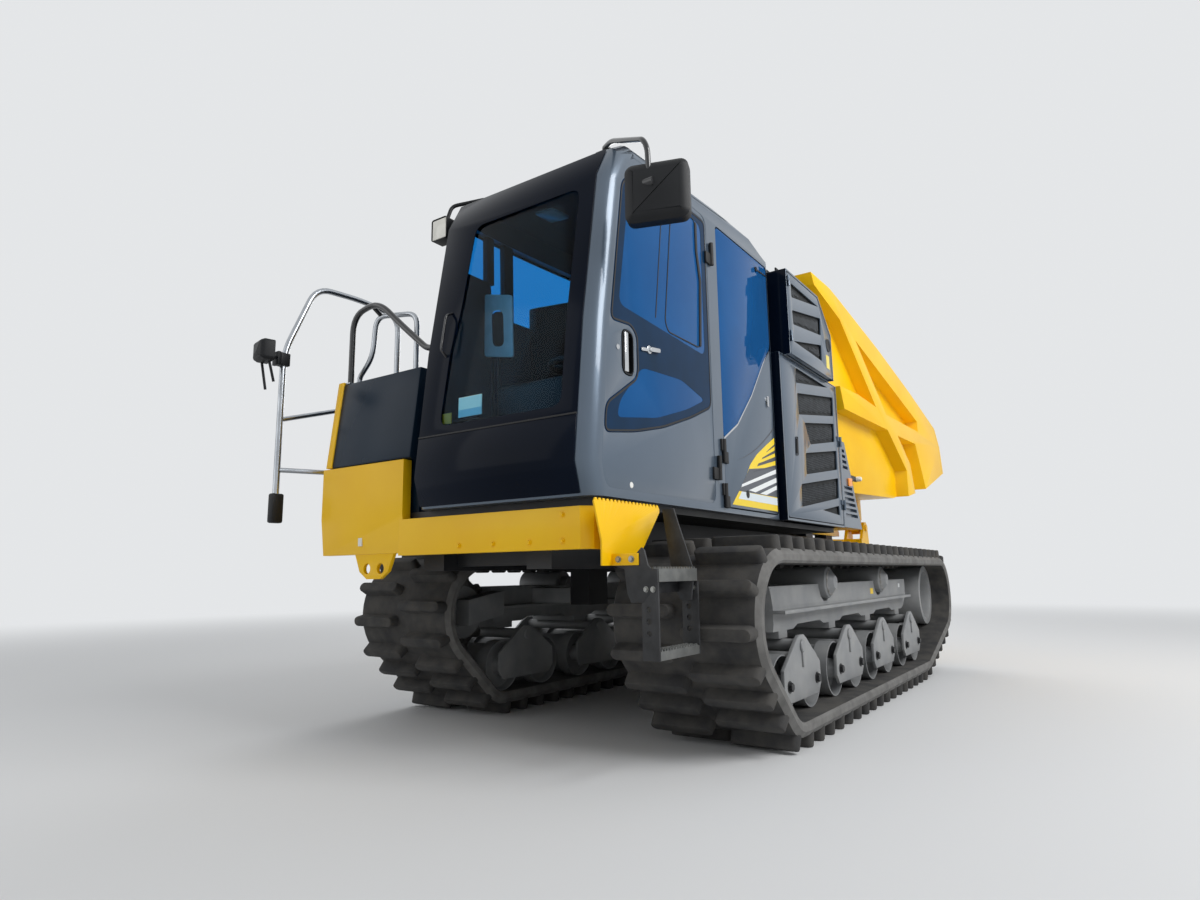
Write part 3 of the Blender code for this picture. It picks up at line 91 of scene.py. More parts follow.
world = bpy.data.worlds.new("studio")
world.use_nodes = True
bpy.context.scene.world = world
sky = world.node_tree
sky.nodes.clear()
power = add(sky, "MapRange", {"Value": (looked_at(sky), 0), "To Min": WORLD_LIGHT, "To Max": BACKDROP})
shine = add(sky, "Background", {"Color": hex_colour(BACKDROP_TONE), "Strength": (power, 0)})
add(sky, "OutputWorld", {"Surface": (shine, 0)})

for lamp_name, place, aim, side, watts in LAMPS:
    light = bpy.data.lights.new(lamp_name, "AREA")
    light.size = side
    light.energy = watts
    lamp = bpy.data.objects.new(lamp_name, light)
    lamp.location = place
    lamp.rotation_euler = (Vector(aim) - Vector(place)).to_track_quat("-Z", "Y").to_euler()
    bpy.context.scene.collection.objects.link(lamp)

camera = bpy.data.objects.new("camera", bpy.data.cameras.new("camera"))
camera.data.lens = CAMERA_LENS
camera.data.clip_end = 200
camera.matrix_world = (
    Matrix.Translation(CAMERA_PLACE) @ Matrix.Rotation(CAMERA_YAW, 4, "Z")
    @ Matrix.Rotation(math.pi / 2 + CAMERA_PITCH, 4, "X") @ Matrix.Rotation(CAMERA_ROLL, 4, "Z"))
bpy.context.scene.collection.objects.link(camera)
bpy.context.scene.camera = camera
bpy.context.scene.view_settings.view_transform = "Standard"

bpy.ops.object.select_all(action="DESELECT")
bpy.ops.mesh.primitive_plane_add(size=60)
floor = bpy.context.active_object
floor.name = "floor"
floor_paint = bpy.data.materials.new("pale floor paint")
floor_paint.use_nodes = True
floor_shader = floor_paint.node_tree.nodes["Principled BSDF"]
floor_shader.inputs["Base Color"].default_value = hex_colour(FLOOR_TONE)
floor_shader.inputs["Roughness"].default_value = 0.75
# far from the machine the floor runs out into the pale backdrop, for what looks at it
floor_tree = floor_paint.node_tree
spot = add(floor_tree, "TexCoord")
away = add(floor_tree, "VectorMath", {0: (spot, "Object")}, operation="LENGTH")
fade = add(
    floor_tree, "MapRange", {"Value": (away, "Value"), "From Min": FLOOR_FADE[0], "From Max": FLOOR_FADE[1]},
    interpolation_type="SMOOTHSTEP")
share = add(floor_tree, "Math", {0: (fade, 0), 1: (looked_at(floor_tree), 0)}, operation="MULTIPLY")
glow = add(floor_tree, "Emission", {"Color": hex_colour(BACKDROP_TONE), "Strength": BACKDROP})
mixed = add(floor_tree, "MixShader", {0: (share, 0), 1: (floor_shader, 0), 2: (glow, 0)})
floor_tree.links.new(mixed.outputs[0], floor_tree.nodes["Material Output"].inputs["Surface"])
floor.data.materials.append(floor_paint)


# Rubber tracks
# Each is one endless moulded belt, 710 mm wide, of carbon-black rubber over steel cores, with two
# rows of staggered bars outside and low guide blocks inside that run in the rollers' waist.
DATUM_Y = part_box("tank_box")[0].y + 0.355    # lengths along the machine are measured back from here
TRACK_X = (0.515, 1.225)
BELT = 0.070
LUG_HEIGHT = 0.055
LUG_ROWS = ((0.527, 0.850), (0.890, 1.213))
LUG_SHARES = (0.27, 0.73)
SHOE_PITCH = 0.150
STEPS_A_PITCH = 4
LUG_SIZE = (LUG_ROWS[0][1] - LUG_ROWS[0][0], 0.066)    # across the belt, along it
GUIDE_HALF = (0.045, 0.030)
ROLLER_Z = 0.2653
TRACK_WHEELS = (
    # y back from the datum, height, radius that the belt wraps
    (0.430, 0.570, 0.2400), (0.6075, ROLLER_Z, 0.1403), (3.1875, ROLLER_Z, 0.1403), (3.900, 0.570, 0.2320))
BELT_SECTION = (
    # x, rise from the inner face: an edge bead, two wheel paths and a waist for the guide blocks
    (0.515, 0.014), (0.524, 0.002), (0.560, 0.000), (0.780, 0.000), (0.960, 0.000), (1.180, 0.000),
    (1.216, 0.002), (1.225, 0.014), (1.225, 0.040), (1.205, 0.066), (1.180, 0.070), (0.960, 0.070),
    (0.780, 0.070), (0.560, 0.070), (0.535, 0.066), (0.515, 0.040))


def finish(name, colour, second, patch_mm, spread, roughness, bump_mm=0.0, grain_mm=3.0, **shader_sockets):
    """A surface whose colour drifts between two tones in patches, with a fine grain as bump.

    patch_mm and grain_mm are the real sizes of the patches and the grain, roughness its two ends.
    """
    made = bpy.data.materials.new(name)
    made.use_nodes = True
    tree = made.node_tree
    shader = tree.nodes["Principled BSDF"]
    for socket, value in shader_sockets.items():
        shader.inputs[socket.replace("_", " ")].default_value = value
    place = add(tree, "TexCoord")
    patches = add(tree, "TexNoise", {"Vector": (place, "Object"), "Scale": 1000 / patch_mm, "Detail": 5.0})
    share = add(tree, "MapRange", {"Value": (patches, 0), "From Min": 0.5 - spread, "From Max": 0.5 + spread})
    tone = add(tree, "Mix", {0: (share, 0), 6: hex_colour(colour), 7: hex_colour(second)}, data_type="RGBA")
    rough = add(tree, "MapRange", {"Value": (patches, 0), "To Min": roughness[0], "To Max": roughness[1]})
    tree.links.new(tone.outputs[2], shader.inputs["Base Color"])
    tree.links.new(rough.outputs[0], shader.inputs["Roughness"])
    if bump_mm:
        grain = add(tree, "TexNoise", {"Vector": (place, "Object"), "Scale": 1000 / grain_mm, "Detail": 3.0})
        relief = add(tree, "Bump", {"Height": (grain, 0), "Distance": bump_mm / 1000, "Strength": 0.6})
        tree.links.new(relief.outputs[0], shader.inputs["Normal"])
    return made


def pick(kind, test):
    """In edit mode, select only the faces, edges or verts that the test accepts."""
    bpy.ops.mesh.select_all(action="DESELECT")
    bpy.ops.mesh.select_mode(type={"faces": "FACE", "edges": "EDGE", "verts": "VERT"}[kind])
    mesh = bmesh.from_edit_mesh(bpy.context.active_object.data)
    for item in getattr(mesh, kind):
        item.select_set(test(item))
    mesh.select_flush_mode()
    bmesh.update_edit_mesh(bpy.context.active_object.data)


def only(item):
    bpy.ops.object.select_all(action="DESELECT")
    item.select_set(True)
    bpy.context.view_layer.objects.active = item
    return item


def box_piece(name, x, y, z):
    """A cube primitive at its size and place, left in edit mode with everything selected."""
    bpy.ops.object.select_all(action="DESELECT")
    bpy.ops.mesh.primitive_cube_add(
        size=1, location=[sum(ends) / 2 for ends in (x, y, z)], scale=[b - a for a, b in (x, y, z)])
    made = bpy.context.active_object
    made.name = name
    bpy.ops.object.transform_apply(location=True, rotation=True, scale=True)
    bpy.ops.object.mode_set(mode="EDIT")
    bpy.ops.mesh.select_all(action="SELECT")
    return made


def joined(name, items):
    """Several objects as one, its place in its mesh."""
    bpy.ops.object.select_all(action="DESELECT")
    for item in items:
        item.select_set(True)
    bpy.context.view_layer.objects.active = items[0]
    bpy.ops.object.join()
    bpy.ops.object.transform_apply(location=True, rotation=True, scale=True)
    made = bpy.context.active_object
    made.name = name
    return made


def stamped(name, pattern, places):
    """Copies of one modelled pattern at each matrix, each with its own mesh, joined; the pattern goes."""
    copies = []
    for matrix in places:
        copy = pattern.copy()
        copy.data = pattern.data.copy()
        copy.data.transform(matrix)
        bpy.context.scene.collection.objects.link(copy)
        copies.append(copy)
    bpy.data.objects.remove(pattern, do_unlink=True)
    return joined(name, copies)


def other_side(item, name):
    """The same piece mirrored to the machine's right, with its faces turned out again."""
    copy = item.copy()
    copy.data = item.data.copy()
    copy.data.transform(Matrix.Scale(-1, 4, (1, 0, 0)))
    copy.data.flip_normals()
    copy.name = name
    bpy.context.scene.collection.objects.link(copy)
    return copy


def dress(item, surface, slot, body, *replaced, smooth=35):
    """Give a finished piece its surface and body, and hide the nodes that it stands for; the slot is not
    used.
    """
    only(item)
    bpy.ops.object.shade_smooth_by_angle(angle=math.radians(smooth))
    item.data.materials.clear()
    item.data.materials.append(surface)
    for name in replaced:
        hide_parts(name)
    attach(item, body)
    return item


def both_sides(item, surface, slot, node=""):
    """Mirror a finished left piece, name and all, and dress both; %s in the node's name is the side."""
    pair = (item, other_side(item, item.name.replace("left", "right")))
    for piece, side in zip(pair, ("left", "right")):
        dress(piece, surface, slot, "chassis", *((node % side,) if node else ()))
    return pair


def track_runs(offset):
    """The loop's straights and arcs round the wheels, as (length, straight or arc, its values)."""
    runs = []
    sides = []
    count = len(TRACK_WHEELS)
    for i in range(count):
        y0, z0, r0 = TRACK_WHEELS[i]
        y1, z1, r1 = TRACK_WHEELS[(i + 1) % count]
        span = math.dist((y0, z0), (y1, z1))
        normal = math.atan2(z1 - z0, y1 - y0) + math.asin((r0 - r1) / span) - math.pi / 2
        out = Vector((math.cos(normal), math.sin(normal)))
        sides.append((
            Vector((y0, z0)) + out * (r0 + offset), Vector((y1, z1)) + out * (r1 + offset), normal))
    for i in range(count):
        start, end, normal = sides[i]
        runs.append(((end - start).length, "straight", (start, end, normal)))
        wheel = TRACK_WHEELS[(i + 1) % count]
        sweep = (sides[(i + 1) % count][2] - normal) % (2 * math.pi)
        runs.append((sweep * (wheel[2] + offset), "arc", (wheel, normal, sweep)))
    return runs


def track_place(runs, offset, distance):
    """The point (y, z) of the belt's inner face and its outward direction, at a distance along the loop."""
    for length, kind, values in runs:
        if distance <= length:
            break
        distance -= length
    share = min(1.0, distance / length)
    if kind == "straight":
        start, end, normal = values
        out = Vector((math.cos(normal), math.sin(normal)))
        return start.lerp(end, share) - out * offset, out
    wheel, normal, sweep = values
    out = Vector((math.cos(normal + sweep * share), math.sin(normal + sweep * share)))
    return Vector(wheel[:2]) + out * wheel[2], out


belt_runs = track_runs(BELT / 2)
belt_length = sum(run[0] for run in belt_runs)
pitches = round(belt_length / SHOE_PITCH)


def belt_spot(x, distance):
    """The matrix that stands a pattern on the belt, its z outwards, at a distance along the loop."""
    spot, out = track_place(belt_runs, BELT / 2, distance)
    turn = Matrix.Identity(4)
    turn.col[1] = (0, out.y, -out.x, 0)
    turn.col[2] = (0, out.x, out.y, 0)
    return Matrix.Translation((x, DATUM_Y + spot.x, spot.y)) @ turn


# Natural and styrene rubber with carbon black: dull, dusted grey where soil has dried on it
track_rubber = finish(
    "moulded track rubber", "#2b2b2c", "#474542", 90, 0.16, (0.72, 0.92), bump_mm=1.2, grain_mm=7)
dusted_rubber = finish(
    "dusted rubber edge", "#6e6d6b", "#5c5b59", 70, 0.14, (0.78, 0.95), bump_mm=1.0, grain_mm=5)

bpy.ops.object.select_all(action="DESELECT")
bpy.ops.mesh.primitive_torus_add(
    major_segments=pitches * STEPS_A_PITCH, minor_segments=len(BELT_SECTION), major_radius=2,
    minor_radius=0.5)
belt = bpy.context.active_object
for index, vertex in enumerate(belt.data.vertices):
    station, around = divmod(index, len(BELT_SECTION))
    spot, out = track_place(belt_runs, BELT / 2, belt_length * station / (pitches * STEPS_A_PITCH))
    x, rise = BELT_SECTION[around]
    vertex.co = (x, DATUM_Y + spot.x + out.x * rise, spot.y + out.y * rise)
only(belt)
bpy.ops.object.mode_set(mode="EDIT")
bpy.ops.mesh.select_all(action="SELECT")
bpy.ops.mesh.normals_make_consistent(inside=False)
bpy.ops.object.mode_set(mode="OBJECT")

lug = box_piece("lug", (-LUG_SIZE[0] / 2, LUG_SIZE[0] / 2), (-LUG_SIZE[1] / 2, LUG_SIZE[1] / 2), (
    BELT - 0.012, BELT + LUG_HEIGHT))
pick("edges", lambda e: abs(e.verts[0].co.z - e.verts[1].co.z) > 0.01)
bpy.ops.mesh.bevel(offset=LUG_SIZE[1] * 0.46, segments=5)
pick("faces", lambda f: f.normal.z > 0.9)
bpy.ops.transform.resize(value=(0.975, 0.80, 1))
bpy.ops.mesh.bevel(offset=0.008, segments=2)
bpy.ops.object.mode_set(mode="OBJECT")
lugs = stamped("lugs", lug, [
    belt_spot(sum(row) / 2, belt_length * (i + share) / pitches)
    for i in range(pitches) for share, row in zip(LUG_SHARES, LUG_ROWS)])

guide = box_piece(
    "guide", (-GUIDE_HALF[0], GUIDE_HALF[0]), (-GUIDE_HALF[1], GUIDE_HALF[1]), (-0.018, 0.006))
pick("faces", lambda f: f.normal.z < -0.9)
bpy.ops.transform.resize(value=(0.80, 0.70, 1))
bpy.ops.mesh.bevel(offset=0.004, segments=1)
bpy.ops.object.mode_set(mode="OBJECT")
guides = stamped("guides", guide, [
    belt_spot(sum(TRACK_X) / 2, belt_length * (i + 0.5) / pitches) for i in range(pitches)])

belt_faces = len(belt.data.polygons)
left_track = joined("track_left_belt", [belt, lugs, guides])
for track in both_sides(left_track, track_rubber, "rubber", "track_%s"):
    track.data.materials.append(dusted_rubber)
    for face in list(track.data.polygons)[:belt_faces]:
        if abs(face.normal.x) > 0.55:
            face.material_index = 1


# Rollers on rocking bogies
# Pressed drums with thin rims turn between two laser-cut steel plates, which rock on a pin in the
# roller frame. Everything is shot-blasted and sprayed satin grey; dust lies in the recesses.
BOGIE_Y = (0.790, 1.532, 2.250, 3.005)
ROLLER_SPACING = 0.365
PIVOT_Z = 0.430
OUTER_PLATE_X = (1.132, 1.150)
INNER_PLATE_X = (0.530, 0.548)
KEEPER_X = (1.149, 1.158)
KEEPER = ((-0.011, 0.335), (0.011, 0.335), (0.013, 0.404), (-0.013, 0.404))
PIVOT_SECTION = (
    (0.522, 0.0), (0.522, 0.026), (0.526, 0.030), (1.156, 0.030), (1.160, 0.026), (1.160, 0.0))
WASHER = 0.003
ROLLER_SECTION = (
    # x, radius: a hub, a deep recess behind the thin rim, the tread, the waist, and the same again
    (0.548, 0.000), (0.548, 0.045), (0.600, 0.055), (0.604, 0.126), (0.561, 0.133), (0.561, 0.1395),
    (0.638, 0.1395), (0.642, 0.118), (1.038, 0.118), (1.042, 0.1395), (1.119, 0.1395), (1.119, 0.133),
    (1.070, 0.126), (1.066, 0.055), (1.128, 0.045), (1.128, 0.000))
PLATE_OUTLINE = (
    # y from the bogie's middle, height
    (-0.243, 0.236), (-0.205, 0.192), (0.205, 0.192), (0.243, 0.236), (0.240, 0.340), (0.066, 0.462),
    (0.030, 0.480), (-0.030, 0.480), (-0.066, 0.462), (-0.240, 0.340))


def blank(name):
    """A plane primitive with its face taken away, left in edit mode for an outline to be drawn in."""
    bpy.ops.object.select_all(action="DESELECT")
    bpy.ops.mesh.primitive_plane_add(size=1)
    made = bpy.context.active_object
    made.name = name
    bpy.ops.object.mode_set(mode="EDIT")
    bpy.ops.mesh.select_all(action="SELECT")
    bpy.ops.mesh.delete(type="VERT")
    mesh = bmesh.from_edit_mesh(made.data)
    return made, mesh


def turned(name, section, centre, steps=48):
    """A turned piece on an axle along X, spun from its half section; centre is (y, z) in the world."""
    made, mesh = blank(name)
    row = [mesh.verts.new((x, centre[0], centre[1] + radius)) for x, radius in section]
    for pair in zip(row, row[1:]):
        mesh.edges.new(pair)
    bmesh.update_edit_mesh(made.data)
    bpy.ops.mesh.select_all(action="SELECT")
    bpy.ops.mesh.spin(steps=steps, angle=2 * math.pi, center=(0, *centre), axis=(1, 0, 0))
    bpy.ops.mesh.select_all(action="SELECT")
    bpy.ops.mesh.remove_doubles(threshold=0.0001)
    bpy.ops.mesh.normals_make_consistent(inside=False)
    bpy.ops.object.mode_set(mode="OBJECT")
    return made


def softened(item, width, segments=2, angle=50):
    """Ease every edge sharper than an angle."""
    only(item)
    rounding = item.modifiers.new("edges", "BEVEL")
    rounding.width = width
    rounding.segments = segments
    rounding.limit_method = "ANGLE"
    rounding.angle_limit = math.radians(angle)
    bpy.ops.object.modifier_apply(modifier="edges")
    return item


def plate(name, outline, axis, low, high, edge=0.002):
    """A flat part cut from sheet: its outline filled, carried along an axis, with its edges eased."""
    made, mesh = blank(name)
    spots = {"X": lambda a, b: (low, a, b), "Y": lambda a, b: (a, low, b), "Z": lambda a, b: (a, b, low)}
    mesh.faces.new([mesh.verts.new(spots[axis](a, b)) for a, b in outline])
    bmesh.update_edit_mesh(made.data)
    bpy.ops.mesh.select_all(action="SELECT")
    step = {"X": (high - low, 0, 0), "Y": (0, high - low, 0), "Z": (0, 0, high - low)}[axis]
    bpy.ops.mesh.extrude_region_move(TRANSFORM_OT_translate={"value": step})
    bpy.ops.mesh.select_all(action="SELECT")
    bpy.ops.mesh.normals_make_consistent(inside=False)
    bpy.ops.object.mode_set(mode="OBJECT")
    return softened(made, edge, angle=30) if edge else made


def round_bar(name, radius, low, high, x=0.0, y=0.0, sides=24):
    """An upright cylinder between two heights, left in object mode with its place not yet applied."""
    bpy.ops.object.select_all(action="DESELECT")
    bpy.ops.mesh.primitive_cylinder_add(
        vertices=sides, radius=radius, depth=high - low, location=(x, y, (low + high) / 2))
    made = bpy.context.active_object
    made.name = name
    return made


def facing(item, spot, towards):
    """Turn a piece that was made upright at the origin, and stand it on a spot along an axis."""
    item.data.transform(
        Matrix.Translation(spot) @ Vector(towards).to_track_quat("Z", "Y").to_matrix().to_4x4())
    return item


def bolt(spot, towards, across, head):
    """A hexagon bolt head with its washer, standing on a face at spot and looking towards an axis."""
    washer = round_bar("washer", across * 0.80, 0.0, WASHER, sides=16)
    made = round_bar("head", across * 0.577, WASHER, head + WASHER, sides=6)
    bpy.ops.object.mode_set(mode="EDIT")
    pick("faces", lambda f: f.normal.z > 0.9)
    bpy.ops.mesh.bevel(offset=across * 0.05, segments=1)
    bpy.ops.object.mode_set(mode="OBJECT")
    return facing(joined("bolt", [made, washer]), spot, towards)


# Satin chassis enamel over blasted steel: even grey, a little dull where dust has settled
chassis_grey = finish(
    "satin chassis enamel, grey", "#77797b", "#8b8c8c", 160, 0.18, (0.42, 0.62), bump_mm=0.25, grain_mm=4)
# Bright zinc-plated fasteners: pale and slightly yellow, with a soft shine
zinc = finish("zinc-plated steel", "#a9aaa6", "#8e8f8c", 30, 0.2, (0.28, 0.45), Metallic=1.0)
# Phosphated bolts, oiled nearly black
dark_bolts = finish("phosphated bolts", "#2b2c2e", "#3a3a3b", 20, 0.2, (0.40, 0.55), Metallic=0.6)

for number, bogie_y in enumerate(BOGIE_Y, 1):
    middle = DATUM_Y + bogie_y
    outline = [(middle + y, z) for y, z in PLATE_OUTLINE]
    axles = [(middle + side * ROLLER_SPACING / 2, ROLLER_Z) for side in (-1, 1)]
    gear = joined("bogie_left_%d_gear" % number, [
        *(turned("roller", ROLLER_SECTION, axle) for axle in axles),
        plate("outer plate", outline, "X", *OUTER_PLATE_X, edge=0.003),
        plate("inner plate", outline, "X", *INNER_PLATE_X, edge=0.003),
        turned("pivot", PIVOT_SECTION, (middle, PIVOT_Z), 24),
        # a folded strip under the pivot that stops the pin from turning
        plate("keeper", [(middle + y, z) for y, z in KEEPER], "X", *KEEPER_X)])
    heads = joined("bogie_left_%d_bolts" % number, [
        bolt((OUTER_PLATE_X[1], *axle), (1, 0, 0), 0.034, 0.014) for axle in axles])
    both_sides(gear, chassis_grey, "undercarriage_paint", "bogie_%s_" + str(number))
    both_sides(heads, dark_bolts, "undercarriage_paint")


# Drive sprockets and idlers
# A flame-cut toothed ring is bolted to each side of the final drive, polished where the belt's cores
# run over it. The idler is a ribbed cast wheel on the tensioner's axle, painted with the frame.
SPROCKET_AT = (DATUM_Y + 0.430, 0.570)
SPROCKET_TIP = 0.2397
SPROCKET_ROOT = 0.2050
SPROCKET_TEETH = 10
SPROCKET_RINGS_X = ((0.760, 0.785), (0.935, 0.960))
TOOTH = (
    # share of the pitch, how far up from root to tip
    (-0.32, 0.0), (-0.22, 0.45), (-0.15, 0.95), (-0.06, 1.0), (0.06, 1.0), (0.15, 0.95), (0.22, 0.45),
    (0.32, 0.0))
HUB_SECTION = (
    (0.700, 0.000), (0.700, 0.146), (0.704, 0.150), (0.966, 0.150), (0.972, 0.146), (0.985, 0.122),
    (1.014, 0.114), (1.020, 0.108), (1.020, 0.052), (1.014, 0.046), (1.014, 0.000))
IDLER_AT = (DATUM_Y + 3.900, 0.570)
IDLER_SECTION = (
    (0.620, 0.000), (0.620, 0.180), (0.620, 0.2300), (0.6225, 0.2317), (1.0775, 0.2317), (1.080, 0.2300),
    (1.080, 0.186), (1.060, 0.177), (0.905, 0.172), (0.900, 0.166), (0.900, 0.074), (0.906, 0.068),
    (1.004, 0.062), (1.010, 0.056), (1.010, 0.000))
IDLER_RIBS = 6
IDLER_RIB = (0.062, 0.174, 0.007)    # inner and outer end, half the thickness
IDLER_RIB_X = (0.895, 0.975)


def around(centre, radius, count, turn=0.0):
    """Points evenly spread on a circle about an axle along X, as (y, z)."""
    angles = [2 * math.pi * (i + turn) / count for i in range(count)]
    return [(centre[0] + radius * math.cos(a), centre[1] + radius * math.sin(a)) for a in angles]


# Steel worn bright by the belt's cores, with brown-grey film left in the hollows
worn_steel = finish(
    "track-polished steel", "#9b9a97", "#6b6762", 25, 0.2, (0.30, 0.52), bump_mm=0.3, grain_mm=5,
    Metallic=0.9)

tooth_outline = []
for i in range(SPROCKET_TEETH):
    for share, rise in TOOTH:
        angle = 2 * math.pi * (i + share) / SPROCKET_TEETH
        radius = SPROCKET_ROOT + (SPROCKET_TIP - SPROCKET_ROOT) * rise
        tooth_outline.append((
            SPROCKET_AT[0] + radius * math.cos(angle), SPROCKET_AT[1] + radius * math.sin(angle)))
left_rings = joined("sprocket_left_rings", [
    plate("ring", tooth_outline, "X", low, high, edge=0.002) for low, high in SPROCKET_RINGS_X])
left_hub = joined("sprocket_left_hub", [
    turned("hub", HUB_SECTION, SPROCKET_AT, 56),
    turned("cap", ((1.013, 0.000), (1.013, 0.040), (1.024, 0.036), (1.026, 0.000)), SPROCKET_AT, 32)])
left_hub_bolts = joined("sprocket_left_bolts", [
    bolt((SPROCKET_RINGS_X[1][1], *spot), (1, 0, 0), 0.022, 0.010)
    for spot in around(SPROCKET_AT, 0.177, 10, 0.5)] + [
    bolt((1.019, *spot), (1, 0, 0), 0.018, 0.008) for spot in around(SPROCKET_AT, 0.080, 8)])
both_sides(left_rings, worn_steel, "undercarriage_paint", "sprocket_%s")
both_sides(left_hub, chassis_grey, "undercarriage_paint")
both_sides(left_hub_bolts, zinc, "undercarriage_paint")

idler_parts = [turned("wheel", IDLER_SECTION, IDLER_AT, 64)]
for i in range(IDLER_RIBS):
    angle = 2 * math.pi * i / IDLER_RIBS
    ahead = Vector((math.cos(angle), math.sin(angle)))
    across = Vector((-math.sin(angle), math.cos(angle))) * IDLER_RIB[2]
    inner, outer = (Vector(IDLER_AT) + ahead * radius for radius in IDLER_RIB[:2])
    corners = [tuple(p) for p in (inner - across, outer - across, outer + across, inner + across)]
    idler_parts.append(plate("rib", corners, "X", *IDLER_RIB_X, edge=0.003))
both_sides(
    joined("idler_left_wheel", idler_parts), chassis_grey, "undercarriage_paint", "idler_%s")


# Roller frames with their carrier rollers
# A welded box beam a side, sprayed with the bogies' grey, arched over each bogie. Two small rollers on
# top carry the belt back; their ends are bright from grease and dust rubbing off.
CARRIER_Y = (1.443, 2.545)
CARRIER_Z = 0.713
CARRIER_SECTION = (
    (0.757, 0.000), (0.757, 0.082), (0.760, 0.0858), (1.080, 0.0858), (1.087, 0.082), (1.089, 0.070),
    (1.100, 0.062), (1.118, 0.040), (1.1225, 0.034), (1.1225, 0.000))
CARRIER_RING = ((1.086, 0.050), (1.096, 0.050), (1.100, 0.060), (1.096, 0.071), (1.086, 0.071))
FRAME_FACE_X = 1.060
FRAME_LABELS = (
    # name, y back from the datum, height, half length, half height, colour
    ("grease_label", 2.385, 0.640, 0.032, 0.018, "#e8c21a"),
    ("silver_tag", 3.120, 0.662, 0.022, 0.014, "#c9cbcc"))


def eased(node, name, width, segments):
    """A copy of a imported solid, its flats merged and its edges rounded as on the real piece."""
    made = nodes[node].copy()
    made.data = nodes[node].data.copy()
    for key in list(made.keys()):
        del made[key]
    made.parent = None
    made.name = name
    bpy.context.scene.collection.objects.link(made)
    only(made)
    bpy.ops.object.mode_set(mode="EDIT")
    bpy.ops.mesh.select_all(action="SELECT")
    bpy.ops.mesh.remove_doubles(threshold=0.00002)
    bpy.ops.mesh.dissolve_limited(angle_limit=math.radians(1))
    bpy.ops.mesh.customdata_custom_splitnormals_clear()
    bpy.ops.object.mode_set(mode="OBJECT")
    return softened(made, width, segments, angle=30)


def flat_paint(name, colour, roughness=0.45):
    """A printed film or a small plain part: one colour, only faintly uneven."""
    return finish(name, colour, colour, 40, 0.3, (roughness - 0.05, roughness + 0.08))


left_frame = eased("track_frame_left", "track_frame_left_beam", 0.006, 2)
left_carriers = joined("carrier_rollers_left", [
    turned("carrier", CARRIER_SECTION, (DATUM_Y + y, CARRIER_Z), 48) for y in CARRIER_Y])
left_ring_pair = joined("carrier_rings_left", [
    turned("ring", CARRIER_RING + CARRIER_RING[:1], (DATUM_Y + y, CARRIER_Z), 48) for y in CARRIER_Y])
both_sides(left_frame, chassis_grey, "undercarriage_paint", "track_frame_%s")
both_sides(left_carriers, chassis_grey, "undercarriage_paint")
both_sides(left_ring_pair, worn_steel, "undercarriage_paint")
for label_name, y, z, half_y, half_z, colour in FRAME_LABELS:
    corners = [(DATUM_Y + y + a * half_y, z + b * half_z) for a, b in ((-1, -1), (1, -1), (1, 1), (-1, 1))]
    label = plate(label_name, corners, "X", FRAME_FACE_X - 0.001, FRAME_FACE_X + 0.001, edge=0)
    dress(label, flat_paint(label_name + " film", colour), "undercarriage_paint", "chassis")


# Main frame
# Two channels with cross members and a flat deck, welded, and coloured near black as painted shade for the
# shadow under the cab. The rear beam and the tipping hinge's brackets are yellow, like the vessel that they
# carry.
REAR_BEAM_Y = DATUM_Y + 3.880

# Satin black enamel: the own colour of the engine casing, marker arm and hoist rams, and painted shade on the
# main frame
black_enamel_and_frame_shade = finish(
    "satin black chassis enamel", "#1b1c1e", "#26272a", 180, 0.18, (0.38, 0.58), bump_mm=0.2, grain_mm=3)
# Two-pack machine enamel: a warm strong yellow with a clear gloss, dulled a little in patches by dust
machine_yellow = finish(
    "yellow machine enamel", "#fbc806", "#f4bc04", 420, 0.22, (0.30, 0.42), bump_mm=0.06, grain_mm=2.5,
    Coat_Weight=0.10, Coat_Roughness=0.12, Specular_IOR_Level=0.30)

main_frame = eased("main_frame", "main_frame_weldment", 0.004, 2)
# the frame's near black is painted shade for the shadow under the cab; only the rear beam keeps its own
# yellow
dress(main_frame, black_enamel_and_frame_shade, "black_steel", "chassis", "main_frame")
main_frame.data.materials.append(machine_yellow)
for face in main_frame.data.polygons:
    if face.center.y > REAR_BEAM_Y:
        face.material_index = 1


# Bumper, towing lug and side plate
# Folded 6 mm plate in machine yellow across the whole front, taller under the tank. The towing lug hangs
# below it, and the side plate carries a row of teeth so that a boot doesn't slip on the way in.
BUMPER_FACE_Y = DATUM_Y - 0.360
GRIP_X = (0.801, 0.809)
GRIP_Y = (-0.407, 0.079)
GRIP_Z = 1.052
GRIP_PITCH = 0.027
GRIP_RISE = 0.011
SIDE_PLATE_LOW = (
    (0.082, 1.048), (0.082, 1.032), (-0.081, 0.849), (-0.280, 0.847), (-0.284, 0.806), (-0.358, 0.806),
    (-0.358, 0.900), (-0.408, 1.048))
CUT_OFF = ((-0.360, 0.700), (0.300, 0.700), (0.300, 1.200), (-0.360, 1.200))
CUT_OFF_X = (0.745, 1.100)
BUMPER_LABEL = ((-0.652, -0.624), (0.925, 0.965))
BUMPER_BOLTS = ((0.05, 0.905), (0.25, 0.905), (0.45, 0.905), (0.62, 0.905), (0.62, 1.010))


def block(name, x, y, z, edge=0.004, segments=2):
    """A block with rounded edges, measured back from the datum."""
    made = box_piece(name, x, (DATUM_Y + y[0], DATUM_Y + y[1]), z)
    if edge:
        bpy.ops.mesh.bevel(offset=edge, segments=segments)
    bpy.ops.object.mode_set(mode="OBJECT")
    return made


def back(points):
    """Points given back from the datum, as world (y, z)."""
    return [(DATUM_Y + y, z) for y, z in points]


def pierced(item, *cutters):
    """Cut holes through a piece with solids that are then thrown away."""
    for cutter in cutters:
        cut = item.modifiers.new("hole", "BOOLEAN")
        cut.operation = "DIFFERENCE"
        cut.solver = "EXACT"
        cut.object = cutter
        only(item)
        bpy.ops.object.modifier_apply(modifier="hole")
        bpy.data.objects.remove(cutter, do_unlink=True)
    return item


